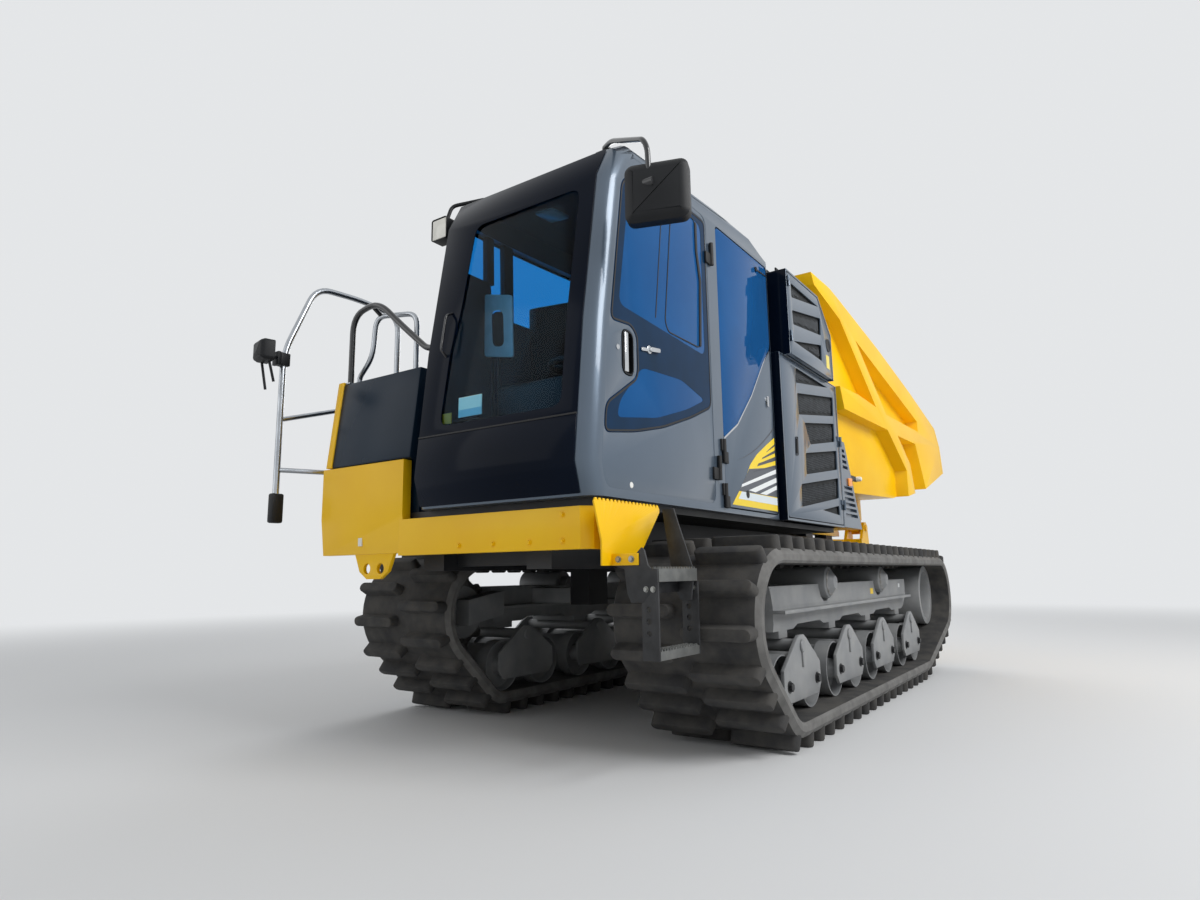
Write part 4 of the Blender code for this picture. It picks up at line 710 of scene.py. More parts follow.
# The solid's slanting side is cut off, as the flat side plate stands in its place
bumper = pierced(
    eased("bumper", "bumper_plate", 0.004, 3), plate("cut", back(CUT_OFF), "X", *CUT_OFF_X, edge=0))
dress(bumper, machine_yellow, "yellow_paint", "chassis", "bumper")
grip_line = []
for i in range(int((GRIP_Y[1] - GRIP_Y[0]) / GRIP_PITCH)):
    y = GRIP_Y[0] + GRIP_PITCH * i
    grip_line += [(y + share * GRIP_PITCH, GRIP_Z + rise) for share, rise in (
        (0.10, 0.0), (0.36, GRIP_RISE), (0.64, GRIP_RISE), (0.90, 0.0))]
side_plate = plate("bumper_side_plate", back(grip_line + list(SIDE_PLATE_LOW)), "X", *GRIP_X, edge=0.0012)
dress(side_plate, machine_yellow, "yellow_paint", "chassis")
front_bolts = joined("bumper_bolts", [
    bolt((x, BUMPER_FACE_Y, z), (0, -1, 0), 0.016, 0.007) for x, z in BUMPER_BOLTS])
dress(front_bolts, machine_yellow, "yellow_paint", "chassis")
bumper_label = box_piece(
    "bumper_label", BUMPER_LABEL[0], (BUMPER_FACE_Y + 0.009, BUMPER_FACE_Y + 0.022), BUMPER_LABEL[1])
bpy.ops.object.mode_set(mode="OBJECT")
dress(bumper_label, flat_paint("bumper label", "#e9e8e2"), "yellow_paint", "chassis")


# Entry steps
# Two treads ahead of the left track. Two black hangers cut from 10 mm plate carry the upper one, and two
# punched strips hang the lower one under it. The treads are folded, with raised teeth against slipping.
UPPER_STEP_X = (0.862, 1.007)
LOWER_STEP_X = (0.934, 1.007)
STEP_Y = (-0.275, 0.030)
STEP_TOPS = (0.792, 0.491)
HANGER_FRONT = (
    # x, height: from the tab on the bumper down and out to the tread's corner, then in below it
    (0.790, 0.815), (0.790, 0.846), (0.912, 0.848), (0.938, 0.873), (0.950, 0.862), (0.965, 0.806),
    (0.978, 0.792), (1.005, 0.790), (1.005, 0.738), (0.944, 0.667), (0.889, 0.665), (0.872, 0.700),
    (0.860, 0.792))
HANGER_REAR = (
    (0.872, 1.038), (0.878, 0.993), (0.905, 0.802), (0.905, 0.735), (0.945, 0.668),
    (0.995, 0.668), (1.005, 0.740), (1.003, 0.802), (0.942, 0.985), (0.926, 1.038))
HANGERS_Y = ((-0.286, -0.2755), (-0.005, 0.005))
STEP_RAIL = ((-0.270, 0.700), (0.030, 0.700), (0.030, 0.740), (-0.270, 0.740))
POST_X = (0.934, 1.007)
POST_Z = (0.457, 0.742)
POSTS_Y = ((-0.285, -0.275), (0.030, 0.040))
POST_HOLES_Z = (0.554, 0.598, 0.642)
TREAD_PITCH = 0.021
TREAD_TOOTH = ((-0.006, -0.001), (0.006, -0.001), (0.003, 0.007), (-0.003, 0.007))
TAB_X = (0.766, 0.928)
TAB_Y = (-0.2925, -0.2865)
TAB_Z = (0.806, 0.851)

# Black powder coat over strip steel: slightly orange-peeled, scuffed paler where boots land
powder_black = finish(
    "black powder coat", "#1b1c1e", "#303133", 60, 0.14, (0.45, 0.68), bump_mm=0.4, grain_mm=2.5)
scuffed_tread = finish(
    "scuffed tread plate", "#5e605f", "#6e6f6d", 40, 0.16, (0.40, 0.60), bump_mm=0.5, grain_mm=2.5,
    Metallic=0.3)


def oblong(y, z):
    """The four corners of an upright rectangle between two ends each way."""
    return ((y[0], z[0]), (y[1], z[0]), (y[1], z[1]), (y[0], z[1]))


def drill(spot, towards, radius, depth):
    """A round cutter through a spot, along an axis."""
    return facing(round_bar("cut", radius, -depth / 2, depth / 2), spot, towards)


def tread(name, x, top, depth):
    """A folded tread with a lip all round and rows of raised teeth on its top and along its outer edge."""
    tray = box_piece(name, x, (DATUM_Y + STEP_Y[0], DATUM_Y + STEP_Y[1]), (top - depth, top))
    pick("faces", lambda f: f.normal.z < -0.9)
    bpy.ops.mesh.inset(thickness=0.006)
    bpy.ops.transform.translate(value=(0, 0, depth - 0.006))
    bpy.ops.object.mode_set(mode="OBJECT")
    tray = softened(tray, 0.002)
    tooth = plate("tooth", TREAD_TOOTH, "X", -0.004, 0.004, edge=0)
    return joined(name, [tray, stamped("teeth", tooth, [
        Matrix.Translation((
            x[1] - 0.006 - TREAD_PITCH * i, DATUM_Y + STEP_Y[0] + TREAD_PITCH * (j + 0.6), top))
        for i in range(int((x[1] - x[0]) / TREAD_PITCH))
        for j in range(int((STEP_Y[1] - STEP_Y[0]) / TREAD_PITCH))])])


hanger_parts = [
    plate("hanger", outline, "Y", DATUM_Y + low, DATUM_Y + high, edge=0.002)
    for outline, (low, high) in zip((HANGER_FRONT, HANGER_REAR), HANGERS_Y)]
hanger_parts.append(plate("rail", back(STEP_RAIL), "X", 0.930, 0.936, edge=0.001))
for low, high in POSTS_Y:
    post = plate("post", oblong(POST_X, POST_Z), "Y", DATUM_Y + low, DATUM_Y + high, edge=0.0015)
    hanger_parts.append(pierced(post, *(
        drill((sum(POST_X) / 2 - 0.006, DATUM_Y + low + 0.005, z), (0, 1, 0), 0.011, 0.05)
        for z in POST_HOLES_Z)))
hangers = joined("entry_steps_frame", hanger_parts)
dress(hangers, powder_black, "black_steel", "chassis", "entry_steps")
treads = joined("entry_steps_treads", [
    tread("upper", UPPER_STEP_X, STEP_TOPS[0], 0.050), tread("lower", LOWER_STEP_X, STEP_TOPS[1], 0.034)])
dress(treads, scuffed_tread, "black_steel", "chassis")
step_tab = plate("step_tab", oblong(TAB_X, TAB_Z), "Y", DATUM_Y + TAB_Y[0], DATUM_Y + TAB_Y[1], edge=0.0015)
dress(step_tab, machine_yellow, "yellow_paint", "chassis")
step_bolts = joined("entry_steps_bolts", [
    bolt((x, DATUM_Y + TAB_Y[0], 0.829), (0, -1, 0), 0.016, 0.008) for x in (0.839, 0.898)] + [
    bolt((x, DATUM_Y + POSTS_Y[i][0], 0.716), (0, -1, 0), 0.014, 0.007)
    for i in (0, 1) for x in (0.956, 0.986)])
dress(step_bolts, zinc, "black_steel", "chassis")


# Cab shell
# Pressed and welded sheet, with a broad rounded pillar at each front corner, sprayed slate grey
# metallic. The openings are cut with rounded corners, and every cut edge is lipped and smooth.
CAB_X = (-0.210, 0.795)
CAB_REAR = 1.530
CAB_WALL = 0.045
CAB_PROFILE = (
    # the front face from the floor up, as (y back from the datum, height)
    (-0.385, 1.075), (-0.425, 1.210), (-0.360, 1.806), (-0.247, 2.482), (-0.165, 2.640), (-0.060, 2.710))
CAB_ROOF_LINE = ((0.300, 2.735), (1.250, 2.735), (CAB_REAR, 2.690))
CAB_FLOOR = 1.075
SCREEN_OPENING = ((-0.125, 0.690), (1.400, 2.590))
RIGHT_PANE = (
    # y back from the datum, height: the pane steps up ahead of the console
    (-0.140, 2.300), (0.070, 2.300), (0.070, 2.130), (1.350, 2.130), (1.350, 2.560), (-0.110, 2.560))
RIGHT_BARS = (((0.049, 0.098), 2.300), ((0.172, 0.235), 2.130))    # their two sides, their foot
REAR_PANE = ((-0.100, 0.390), (2.150, 2.560))
DOOR_REAR = 0.680
DOOR_Z = (1.105, 2.640)
DOOR_SETBACK = 0.085
COVER_Y = (0.795, 1.500)
PANEL_GAP = 0.006

# Metallic two-coat paint: fine aluminium flake in slate grey under a clear lacquer that mirrors the sky
slate_metallic = finish(
    "slate metallic lacquer", "#586676", "#515f6d", 500, 0.25, (0.26, 0.34), bump_mm=0.04, grain_mm=2.0,
    Metallic=0.45, Coat_Weight=0.55, Coat_Roughness=0.06)
# Extruded rubber: a dull soft black
seal_rubber = finish(
    "extruded seal rubber", "#131314", "#1c1c1d", 60, 0.2, (0.55, 0.75), bump_mm=0.1, grain_mm=2)


def front_y(z, stand_off=0.0):
    """How far back the cab's front face lies at a height."""
    for (y0, z0), (y1, z1) in zip(CAB_PROFILE, CAB_PROFILE[1:]):
        if z <= z1:
            break
    return y0 + (y1 - y0) * (z - z0) / (z1 - z0) - stand_off


def rounded(points, radius, steps=5):
    """A closed outline with each corner turned into a short curve."""
    made = []
    count = len(points)
    for i in range(count):
        before, corner, after = (Vector(points[(i + k) % count]) for k in (-1, 0, 1))
        reach = min(radius, 0.45 * (before - corner).length, 0.45 * (after - corner).length)
        start = corner + (before - corner).normalized() * reach
        end = corner + (after - corner).normalized() * reach
        for step in range(steps + 1):
            t = step / steps
            made.append(tuple(start.lerp(corner, t).lerp(corner.lerp(end, t), t)))
    return made


def shrunk(outline, distance):
    """An outline moved inwards by a distance, whichever way round it runs."""
    count = len(outline)
    area = sum(
        outline[i][0] * outline[(i + 1) % count][1] - outline[(i + 1) % count][0] * outline[i][1]
        for i in range(count))
    moved = []
    for i in range(count):
        before, here, after = (Vector(outline[(i + k) % count]) for k in (-1, 0, 1))
        a = (here - before).normalized()
        b = (after - here).normalized()
        na = Vector((-a.y, a.x))
        nb = Vector((-b.y, b.x))
        moved.append(tuple(here + (na + nb) / (1 + na.dot(nb)) * math.copysign(distance, area)))
    return moved


def side_cut(outline, low=0.70):
    """A cutter for the cab's left side, from a depth outwards."""
    return plate("cut", back(outline), "X", low, 0.90, edge=0)


door_front = [(front_y(z) + DOOR_SETBACK, z) for z in (DOOR_Z[0], 1.210, 1.806, 2.482)]
door_outline = rounded([
    (DOOR_REAR, DOOR_Z[0]), (DOOR_REAR, DOOR_Z[1]), (front_y(2.640) + 0.175, DOOR_Z[1])] + door_front[::-1],
    0.070)
cab_outline = list(CAB_PROFILE) + list(CAB_ROOF_LINE) + [(CAB_REAR, CAB_FLOOR)]
cab = plate("cab", back(cab_outline), "X", *CAB_X, edge=0)
only(cab)
bpy.ops.object.mode_set(mode="EDIT")


def beside(edge, forward):
    """Whether an edge runs along the cab's side face, ahead of or behind the front pillars."""
    a, b = (vertex.co for vertex in edge.verts)
    return (
        abs(a.x - b.x) < 0.001 and (max(a.y, b.y) < DATUM_Y + 0.31) == forward
        and max(a.z, b.z) > CAB_FLOOR + 0.01)


pick("edges", lambda e: beside(e, True))
bpy.ops.mesh.bevel(offset=0.075, segments=6, clamp_overlap=False)
pick("edges", lambda e: beside(e, False))
bpy.ops.mesh.bevel(offset=0.022, segments=3, clamp_overlap=False)
bpy.ops.object.mode_set(mode="OBJECT")
cab_inside = plate(
    "inside", back(shrunk(cab_outline, CAB_WALL)), "X", CAB_X[0] + CAB_WALL, CAB_X[1] - CAB_WALL, edge=0)
screen_cut, rear_cut = (
    plate("cut", rounded(oblong(*opening), 0.05), "Y", DATUM_Y + low, DATUM_Y + high, edge=0)
    for opening, low, high in ((SCREEN_OPENING, -0.60, -0.13), (REAR_PANE, 1.45, 1.60)))
right_cut = plate("cut", back(rounded(RIGHT_PANE, 0.04)), "X", -0.30, -0.14, edge=0)
door_cut = side_cut(shrunk(door_outline, -PANEL_GAP), 0.735)
cover_cut = side_cut(rounded(oblong(
    (COVER_Y[0] - PANEL_GAP, COVER_Y[1] + PANEL_GAP), (DOOR_Z[0] - PANEL_GAP, DOOR_Z[1])), 0.03), 0.735)
cab = pierced(cab, cab_inside, screen_cut, rear_cut, right_cut, door_cut, cover_cut)
cab = softened(cab, 0.003)
cab.name = "cab_shell_body"

HINGE_AXIS = (0.806, 0.7075)
COVER_AXIS = (0.806, 0.7700)
DOOR_HINGES_Z = (1.295, 2.440)
COVER_HINGES_Z = (1.160, 1.390)
HINGE_HALF = 0.062


def hinge_half(axis, z, side, upper, leaf=HINGE_HALF):
    """One half of a cast butt hinge: its knuckle and its leaf, on one side of the axis along Y."""
    x, y = axis
    low, high = (z + 0.0006, z + HINGE_HALF) if upper else (z - HINGE_HALF, z)
    return joined("hinge", [
        round_bar("knuckle", 0.011, low, high, x, DATUM_Y + y, 20),
        block("leaf", (0.7945, x), sorted((y + side * 0.002, y + side * leaf)), (low, high), 0.003)])


fixed_hinges = joined("cab_shell_hinges", [
    hinge_half(HINGE_AXIS, z, 1, True, 0.030) for z in DOOR_HINGES_Z] + [
    hinge_half(COVER_AXIS, z, -1, True, 0.024) for z in COVER_HINGES_Z])
dress(cab, slate_metallic, "graphite_paint", "chassis", "cab_shell")
# Inside, the walls and roof are covered with a near-black moulded lining
cab_lining = finish(
    "moulded cab lining", "#0b1624", "#0f1d2e", 120, 0.2, (0.60, 0.80), bump_mm=0.3, grain_mm=2)
cab.data.materials.append(cab_lining)
for face in cab.data.polygons:
    spot = face.center
    within = (
        CAB_X[0] + 0.5 * CAB_WALL < spot.x < CAB_X[1] - 0.5 * CAB_WALL,
        DATUM_Y + front_y(spot.z) + 0.5 * CAB_WALL < spot.y < DATUM_Y + CAB_REAR - 0.5 * CAB_WALL,
        CAB_FLOOR + 0.02 < spot.z < 2.70)
    if all(within):
        face.material_index = 1
dress(fixed_hinges, seal_rubber, "graphite_paint", "chassis")

# The roof's pressed crown, and a drip rail over the door
crown = box_piece("cab_roof_crown", (-0.120, 0.705), (DATUM_Y + 0.130, DATUM_Y + 1.230), (2.700, 2.772))
pick("faces", lambda f: f.normal.z > 0.9)
bpy.ops.transform.resize(value=(0.88, 0.92, 1))
pick("edges", lambda e: max(v.co.z for v in e.verts) > 2.75)
bpy.ops.mesh.bevel(offset=0.022, segments=4)
bpy.ops.object.mode_set(mode="OBJECT")
dress(crown, slate_metallic, "graphite_paint", "chassis")


# Windscreen and panes
# Laminated glass, bonded in. A black ceramic border is fired on to hide the glue, and runs down into a
# gloss black panel that closes the front below it.
PANEL_X = (-0.168, 0.732)
FRIT_Z = (1.402, 2.640)
CLEAR_PART = (
    (-0.040, 1.440), (0.650, 1.440), (0.650, 2.440), (0.030, 2.440), (0.010, 1.980), (-0.020, 1.800))
PANE_SHELL = 0.0035

# Laminated solar glass, body-tinted blue: what is bright behind it shows blue, and the cab inside dark
# Its IOR is low, so that a pane on its own doesn't bend what is behind it
solar_glass, blue_glass = (
    finish(
        name, colour, second, 400, 0.3, (0.01, 0.02), Transmission_Weight=1.0, IOR=1.06, Coat_Weight=0.12,
        Coat_Roughness=0.02)
    for name, colour, second in (
        ("body-tinted solar glass", "#9fcde8", "#a1cfea"), ("deep blue tinted glass", "#2f9adb", "#319cdd")))
# The side panes are tinted almost opaque
side_glass_tint = finish(
    "body-tinted side glass", "#1d5a94", "#194f86", 400, 0.3, (0.02, 0.03), Alpha=0.88,
    Coat_Weight=0.06, Coat_Roughness=0.02, IOR=1.5, Specular_IOR_Level=0.06)
# The ceramic border of the side panes shows navy under the same tint
side_border = finish(
    "navy ceramic border", "#123151", "#10293f", 200, 0.3, (0.06, 0.10), Specular_IOR_Level=0.08)
# Ceramic enamel fired on glass, and lacquered panel: the same deep gloss black; on the hood's front faces it
# is painted shade
gloss_black_and_hood_shade = finish(
    "gloss black enamel", "#070f1c", "#081222", 300, 0.3, (0.10, 0.14), Specular_IOR_Level=0.07)
satin_black = finish(
    "moulded black plastic", "#0f1114", "#15171a", 80, 0.2, (0.42, 0.55), bump_mm=0.15, grain_mm=1.5,
    Specular_IOR_Level=0.30)


def front_sheet(name, x, z, stand_off, thickness, edge=0.0015):
    """A sheet that follows the cab's front face between two heights."""
    heights = [z[0]] + [h for _, h in CAB_PROFILE if z[0] < h < z[1]] + [z[1]]
    outer = [(front_y(h, stand_off + thickness), h) for h in heights]
    inner = [(front_y(h, stand_off), h) for h in heights]
    return plate(name, back(inner + outer[::-1]), "X", *x, edge=edge)


clear_cut = plate("cut", rounded(CLEAR_PART, 0.055), "Y", DATUM_Y - 0.60, DATUM_Y - 0.10, edge=0)
frit = pierced(front_sheet("windscreen_border", PANEL_X, FRIT_Z, 0.0005, PANE_SHELL), clear_cut)
dress(frit, gloss_black_and_hood_shade, "glass", "chassis")
screen = front_sheet(
    "windscreen_pane", (SCREEN_OPENING[0][0] + 0.004, SCREEN_OPENING[0][1] - 0.004), (1.404, 2.586), -0.008,
    0.006)
dress(screen, solar_glass, "glass", "chassis", "windscreen")
front_panel = front_sheet("cab_front_panel", PANEL_X, (1.084, 1.396), 0.0005, 0.006, 0.003)
dress(front_panel, gloss_black_and_hood_shade, "graphite_paint", "chassis")
seal = front_sheet("windscreen_seal", PANEL_X, (1.395, 1.403), 0.0005, 0.0085, 0.002)
dress(seal, seal_rubber, "rubber", "chassis")

right_pane = plate(
    "cab_right_pane", back(shrunk(rounded(RIGHT_PANE, 0.04), 0.001)), "X", CAB_X[0] + 0.003,
    CAB_X[0] + 0.009, edge=0.001)
rear_pane = plate(
    "cab_rear_pane", shrunk(rounded(oblong(*REAR_PANE), 0.05), 0.001), "Y", DATUM_Y + CAB_REAR - 0.009,
    DATUM_Y + CAB_REAR - 0.003, edge=0.001)
dress(right_pane, blue_glass, "glass", "chassis", "cab_right_glass")
dress(rear_pane, blue_glass, "glass", "chassis", "cab_rear_glass")


def ring_plate(name, outline, width, low, high, axis="X"):
    """A flat ring that follows an outline, as a seal or a trim does."""
    inner = plate("cut", shrunk(outline, width), axis, low - 0.01, high + 0.01, edge=0)
    return pierced(plate(name, outline, axis, low, high, edge=0), inner)


right_seal = ring_plate(
    "cab_right_seal", back(rounded(RIGHT_PANE, 0.04)), 0.012, CAB_X[0] - 0.002, CAB_X[0] + 0.003)
right_bars = joined("cab_right_bars", [
    plate("bar", back(oblong(y, (low, RIGHT_PANE[-1][1]))), "X", CAB_X[0] + 0.010, CAB_X[0] + 0.040)
    for y, low in RIGHT_BARS])
dress(right_bars, satin_black, "black_plastic", "chassis")
rear_seal = ring_plate(
    "cab_rear_seal", rounded(oblong(*REAR_PANE), 0.05), 0.012, DATUM_Y + CAB_REAR - 0.003,
    DATUM_Y + CAB_REAR + 0.002, "Y")
dress(right_seal, seal_rubber, "rubber", "chassis")
dress(rear_seal, seal_rubber, "rubber", "chassis")


# Cab door
# A pressed leaf in the cab's paint with one large bonded pane that runs round the pull handle and ends
# in a bow below. The pull is a bright bar in a black pocket; the lock sits through the glass.
DOOR_SKIN = 0.794
POCKET = ((-0.168, -0.075), (1.600, 1.800))
SLIDER = (
    (0.235, 1.885), (0.560, 1.885), (0.582, 2.250), (0.548, 2.400), (0.548, 2.575), (0.300, 2.575),
    (0.205, 1.930))
SLIDER_EDGE = (
    (0.548, 1.895), (0.568, 1.895), (0.594, 2.250), (0.561, 2.405), (0.561, 2.560), (0.541, 2.560),
    (0.541, 2.400), (0.572, 2.250))
SLIDER_RAIL = ((0.118, 1.925), (0.124, 1.925), (0.222, 2.575), (0.216, 2.575))
LOW_PANE = (
    (-0.215, 1.405), (0.110, 1.455), (0.400, 1.545), (0.590, 1.625), (0.350, 1.680), (-0.010, 1.660),
    (-0.190, 1.480))
PULL_Y = (-0.150, -0.122)
PULL_FEET_Z = (1.622, 1.768)
LATCH_TONGUE = ((0.050, 1.744), (0.135, 1.758), (0.135, 1.777), (0.050, 1.766))
LATCH_HOOK = ((-0.018, 1.734), (0.050, 1.744), (0.050, 1.760), (-0.018, 1.750))


# The bonded pane: almost the whole leaf above its bowed lower edge, less the handle's corner
glass_edge = DOOR_SETBACK + 0.016
glass_top = DOOR_Z[1] - 0.030
pane_outline = rounded([
    (DOOR_REAR - 0.016, 1.598), (DOOR_REAR - 0.016, glass_top), (front_y(2.640) + 0.185, glass_top),
    (front_y(2.482) + glass_edge, 2.482), (front_y(1.830) + glass_edge, 1.812), (-0.095, 1.826),
    (-0.050, 1.790), (-0.050, 1.610), (front_y(1.450) + glass_edge, 1.455),
    (front_y(1.330) + glass_edge, 1.328), (-0.072, 1.363), (0.169, 1.418), (0.445, 1.509)], 0.045)
upper_clear = (
    (0.610, 1.860), (0.610, 2.570), (-0.020, 2.570), (front_y(2.482) + 0.160, 2.460),
    (front_y(1.880) + 0.160, 1.900))
pocket_outline = rounded(oblong(*POCKET), 0.040)


def on_skin(name, outline, low, high, edge=0.0, skin=DOOR_SKIN):
    """A plate on the cab's side, its faces measured outwards from the door's skin."""
    return plate(name, back(outline), "X", skin + low, skin + high, edge=edge)


def ring_on_skin(name, outline, width, low, high):
    return ring_plate(name, back(outline), width, DOOR_SKIN + low, DOOR_SKIN + high)


def turned_on_side(name, section, y, z, steps=24):
    """A small turned fitting on the machine's left side, its axle measured back from the datum."""
    return turned(name, section, (DATUM_Y + y, z), steps)


door = on_skin("door", door_outline, -0.044, 0.0)
door = pierced(door, side_cut(pane_outline), side_cut(pocket_outline, DOOR_SKIN - 0.030))
door = softened(door, 0.0035)
door.name = "cab_door_leaf"
dress(door, slate_metallic, "graphite_paint", "door", "cab_door")
door_pane = on_skin("cab_door_pane", shrunk(pane_outline, 0.0012), -0.0065, -0.0010, 0.0008)
dress(door_pane, side_glass_tint, "glass", "door", "cab_door_glass")
door_frit = pierced(
    on_skin("cab_door_border", shrunk(pane_outline, 0.0012), -0.0012, -0.0002),
    side_cut(rounded(upper_clear, 0.050)), side_cut(rounded(LOW_PANE, 0.045)))
dress(door_frit, side_border, "glass", "door")
door_trim = joined("cab_door_seals", [
    ring_on_skin("cab_door_seal", shrunk(pane_outline, -0.004), 0.0085, -0.003, 0.0012),
    ring_on_skin("slider_seal", rounded(SLIDER, 0.035), 0.006, -0.002, 0.0015),
    on_skin("slider_edge", rounded(SLIDER_EDGE, 0.010), -0.002, 0.005, 0.0015),
    on_skin("slider_rail", SLIDER_RAIL, -0.002, 0.0008)])
dress(door_trim, seal_rubber, "rubber", "door")
pocket_liner = joined("cab_door_pocket", [
    on_skin("liner", shrunk(pocket_outline, 0.001), -0.0298, -0.026, 0.001),
    ring_on_skin("rim", shrunk(pocket_outline, -0.003), 0.006, -0.026, 0.002)])
dress(pocket_liner, satin_black, "black_plastic", "door")
swinging_hinges = joined(
    "cab_door_hinges", [hinge_half(HINGE_AXIS, z, -1, False) for z in DOOR_HINGES_Z])
dress(swinging_hinges, seal_rubber, "graphite_paint", "door")

# Polished chrome on the pull, the key cylinder and the latch through the glass
chrome = finish("polished chrome plate", "#d9dbdd", "#c8cbce", 60, 0.25, (0.10, 0.18), Metallic=1.0)
door_metal = joined("cab_door_fittings", [
    block("pull", (DOOR_SKIN - 0.006, DOOR_SKIN + 0.006), PULL_Y, (1.612, 1.788), 0.0055, 3),
    *(block("foot", (DOOR_SKIN - 0.027, DOOR_SKIN - 0.004), (-0.146, -0.126), (z, z + 0.010), 0)
      for z in PULL_FEET_Z),
    turned_on_side(
        "key", ((0.790, 0.000), (0.790, 0.012), (0.797, 0.012), (0.799, 0.010), (0.799, 0.000)),
        -0.202, 1.706),
    turned_on_side(
        "rose", ((0.790, 0.000), (0.790, 0.020), (0.7985, 0.019), (0.8005, 0.015), (0.8005, 0.000)),
        0.052, 1.755, 28),
    on_skin("tongue", rounded(LATCH_TONGUE, 0.008), 0.0065, 0.014, 0.002),
    on_skin("hook", rounded(LATCH_HOOK, 0.006), 0.002, 0.008, 0.002)])
dress(door_metal, chrome, "chromed_rod", "door")
low_plug = turned_on_side(
    "cab_door_plug", ((0.793, 0.000), (0.793, 0.014), (0.7955, 0.012), (0.7955, 0.000)), -0.115, 1.135)
dress(low_plug, flat_paint("white plastic plug", "#e6e6e2", 0.4), "graphite_paint", "door")


# Side cover behind the door
# The grey service cover rises to the rear in a bow, with a bright trim along the split; the pane above is
# bonded like the door's. A printed yellow flash with fading stripes fills the low rear corner.
COVER_SPLIT = ((0.795, 1.460), (0.971, 1.559), (1.183, 1.760), (1.373, 1.990), (1.500, 2.120))
FLASH = (
    (0.867, 1.122), (0.965, 1.206), (1.067, 1.300), (1.121, 1.360), (1.217, 1.427), (1.370, 1.504),
    (1.494, 1.562), (1.494, 1.122))
FLASH_STRIPES = (
    ((1.370, 1.466), (1.494, 1.524), (1.494, 1.512), (1.360, 1.458)),
    ((1.300, 1.420), (1.494, 1.488), (1.494, 1.470), (1.285, 1.408)),
    ((1.235, 1.378), (1.494, 1.448), (1.494, 1.424), (1.215, 1.360)),
    ((1.170, 1.330), (1.494, 1.398), (1.494, 1.384), (1.160, 1.322)))
SLATE_FIELD = (
    (0.965, 1.206), (1.067, 1.300), (1.100, 1.333), (1.494, 1.384), (1.494, 1.205), (0.958, 1.200))
WHITE_STRIPES = (
    ((1.000, 1.240), (1.494, 1.372), (1.494, 1.347), (0.985, 1.222)),
    ((1.085, 1.214), (1.494, 1.322), (1.494, 1.294), (1.175, 1.210)),
    ((1.240, 1.208), (1.494, 1.276), (1.494, 1.252), (1.330, 1.207)))
WHITE_BLOCK = ((0.945, 1.158), (0.990, 1.200), (1.494, 1.200), (1.494, 1.158))
SWOOSH = (
    (0.937, 1.362), (1.040, 1.392), (1.139, 1.429), (1.240, 1.475), (1.331, 1.525), (1.425, 1.580),
    (1.494, 1.628), (1.494, 1.616), (1.425, 1.570), (1.331, 1.517), (1.240, 1.468), (1.139, 1.424),
    (1.040, 1.389))
COVER_LEVER = ((1.398, 1.735), (1.418, 1.735), (1.420, 1.800), (1.396, 1.800))
LATCH_ARM = ((1.338, 2.570), (1.498, 2.578), (1.498, 2.586), (1.338, 2.582))

split_low = [(y, z - PANEL_GAP / 2) for y, z in COVER_SPLIT]
cover_outline = rounded([(COVER_Y[0], DOOR_Z[0]), (COVER_Y[1], DOOR_Z[0])] + split_low[::-1], 0.030)
cover = softened(on_skin("side_cover", cover_outline, -0.044, 0.0), 0.004)
cover.name = "side_access_cover_leaf"
dress(cover, slate_metallic, "graphite_paint", "access_cover", "side_access_cover")
cover_hinges = joined(
    "side_cover_hinges", [hinge_half(COVER_AXIS, z, 1, False, 0.050) for z in COVER_HINGES_Z])
dress(cover_hinges, seal_rubber, "graphite_paint", "access_cover")
split_high = [(y, z + PANEL_GAP / 2) for y, z in COVER_SPLIT]
rear_pane_outline = rounded(split_high + [(COVER_Y[1], 2.634), (COVER_Y[0] - 0.002, 2.634)], 0.035)
side_pane = on_skin("cab_side_pane", rear_pane_outline, -0.0065, -0.001, 0.0008)
dress(side_pane, side_glass_tint, "glass", "chassis", "cab_side_glass")
trim_line = [(y, z - 0.004) for y, z in COVER_SPLIT[:-1]] + [(1.492, 2.108)]
trim_outline = [(y, z + 0.012) for y, z in trim_line] + trim_line[::-1]
cover_trim = on_skin("side_cover_trim", trim_outline, -0.004, 0.003, 0.001)
dress(cover_trim, chrome, "chromed_rod", "access_cover")


def film(name, outline, level, skin=DOOR_SKIN):
    """The shape of a printed film on a side face; each level lies on the one before."""
    return on_skin(name, outline, -0.001, 0.0004 * level, skin=skin)


def printed(item, colour, body):
    """Print a film in one colour."""
    ink = flat_paint(item.name.replace("_", " ") + " film", colour, 0.32)
    return dress(item, ink, "graphite_paint", body)


printed(film("flash_yellow", FLASH, 1), "#f2d21c", "access_cover")
printed(film("flash_field", SLATE_FIELD, 2), "#4b5058", "access_cover")
printed(film("flash_block", WHITE_BLOCK, 3), "#d9e2e6", "access_cover")
dark_films = [film("stripe", shape, 3) for shape in FLASH_STRIPES] + [film("swoosh", SWOOSH, 2)]
printed(joined("flash_dark", dark_films), "#3c4048", "access_cover")
white_films = [film("stripe", shape, 3) for shape in WHITE_STRIPES]
printed(joined("flash_white", white_films), "#e9ecec", "access_cover")
cover_plug = turned_on_side(
    "side_cover_plug", ((0.790, 0.000), (0.790, 0.024), (0.7965, 0.021), (0.7965, 0.000)), 1.067, 1.190, 28)
dress(cover_plug, satin_black, "black_plastic", "access_cover")
cover_lock = joined("side_cover_lock", [
    turned_on_side(
        "rose", ((0.790, 0.000), (0.790, 0.022), (0.799, 0.020), (0.799, 0.000)), 1.408, 1.780, 28),
    on_skin("lever", rounded(COVER_LEVER, 0.008), 0.005, 0.012, 0.002)])
dress(cover_lock, chrome, "chromed_rod", "access_cover")
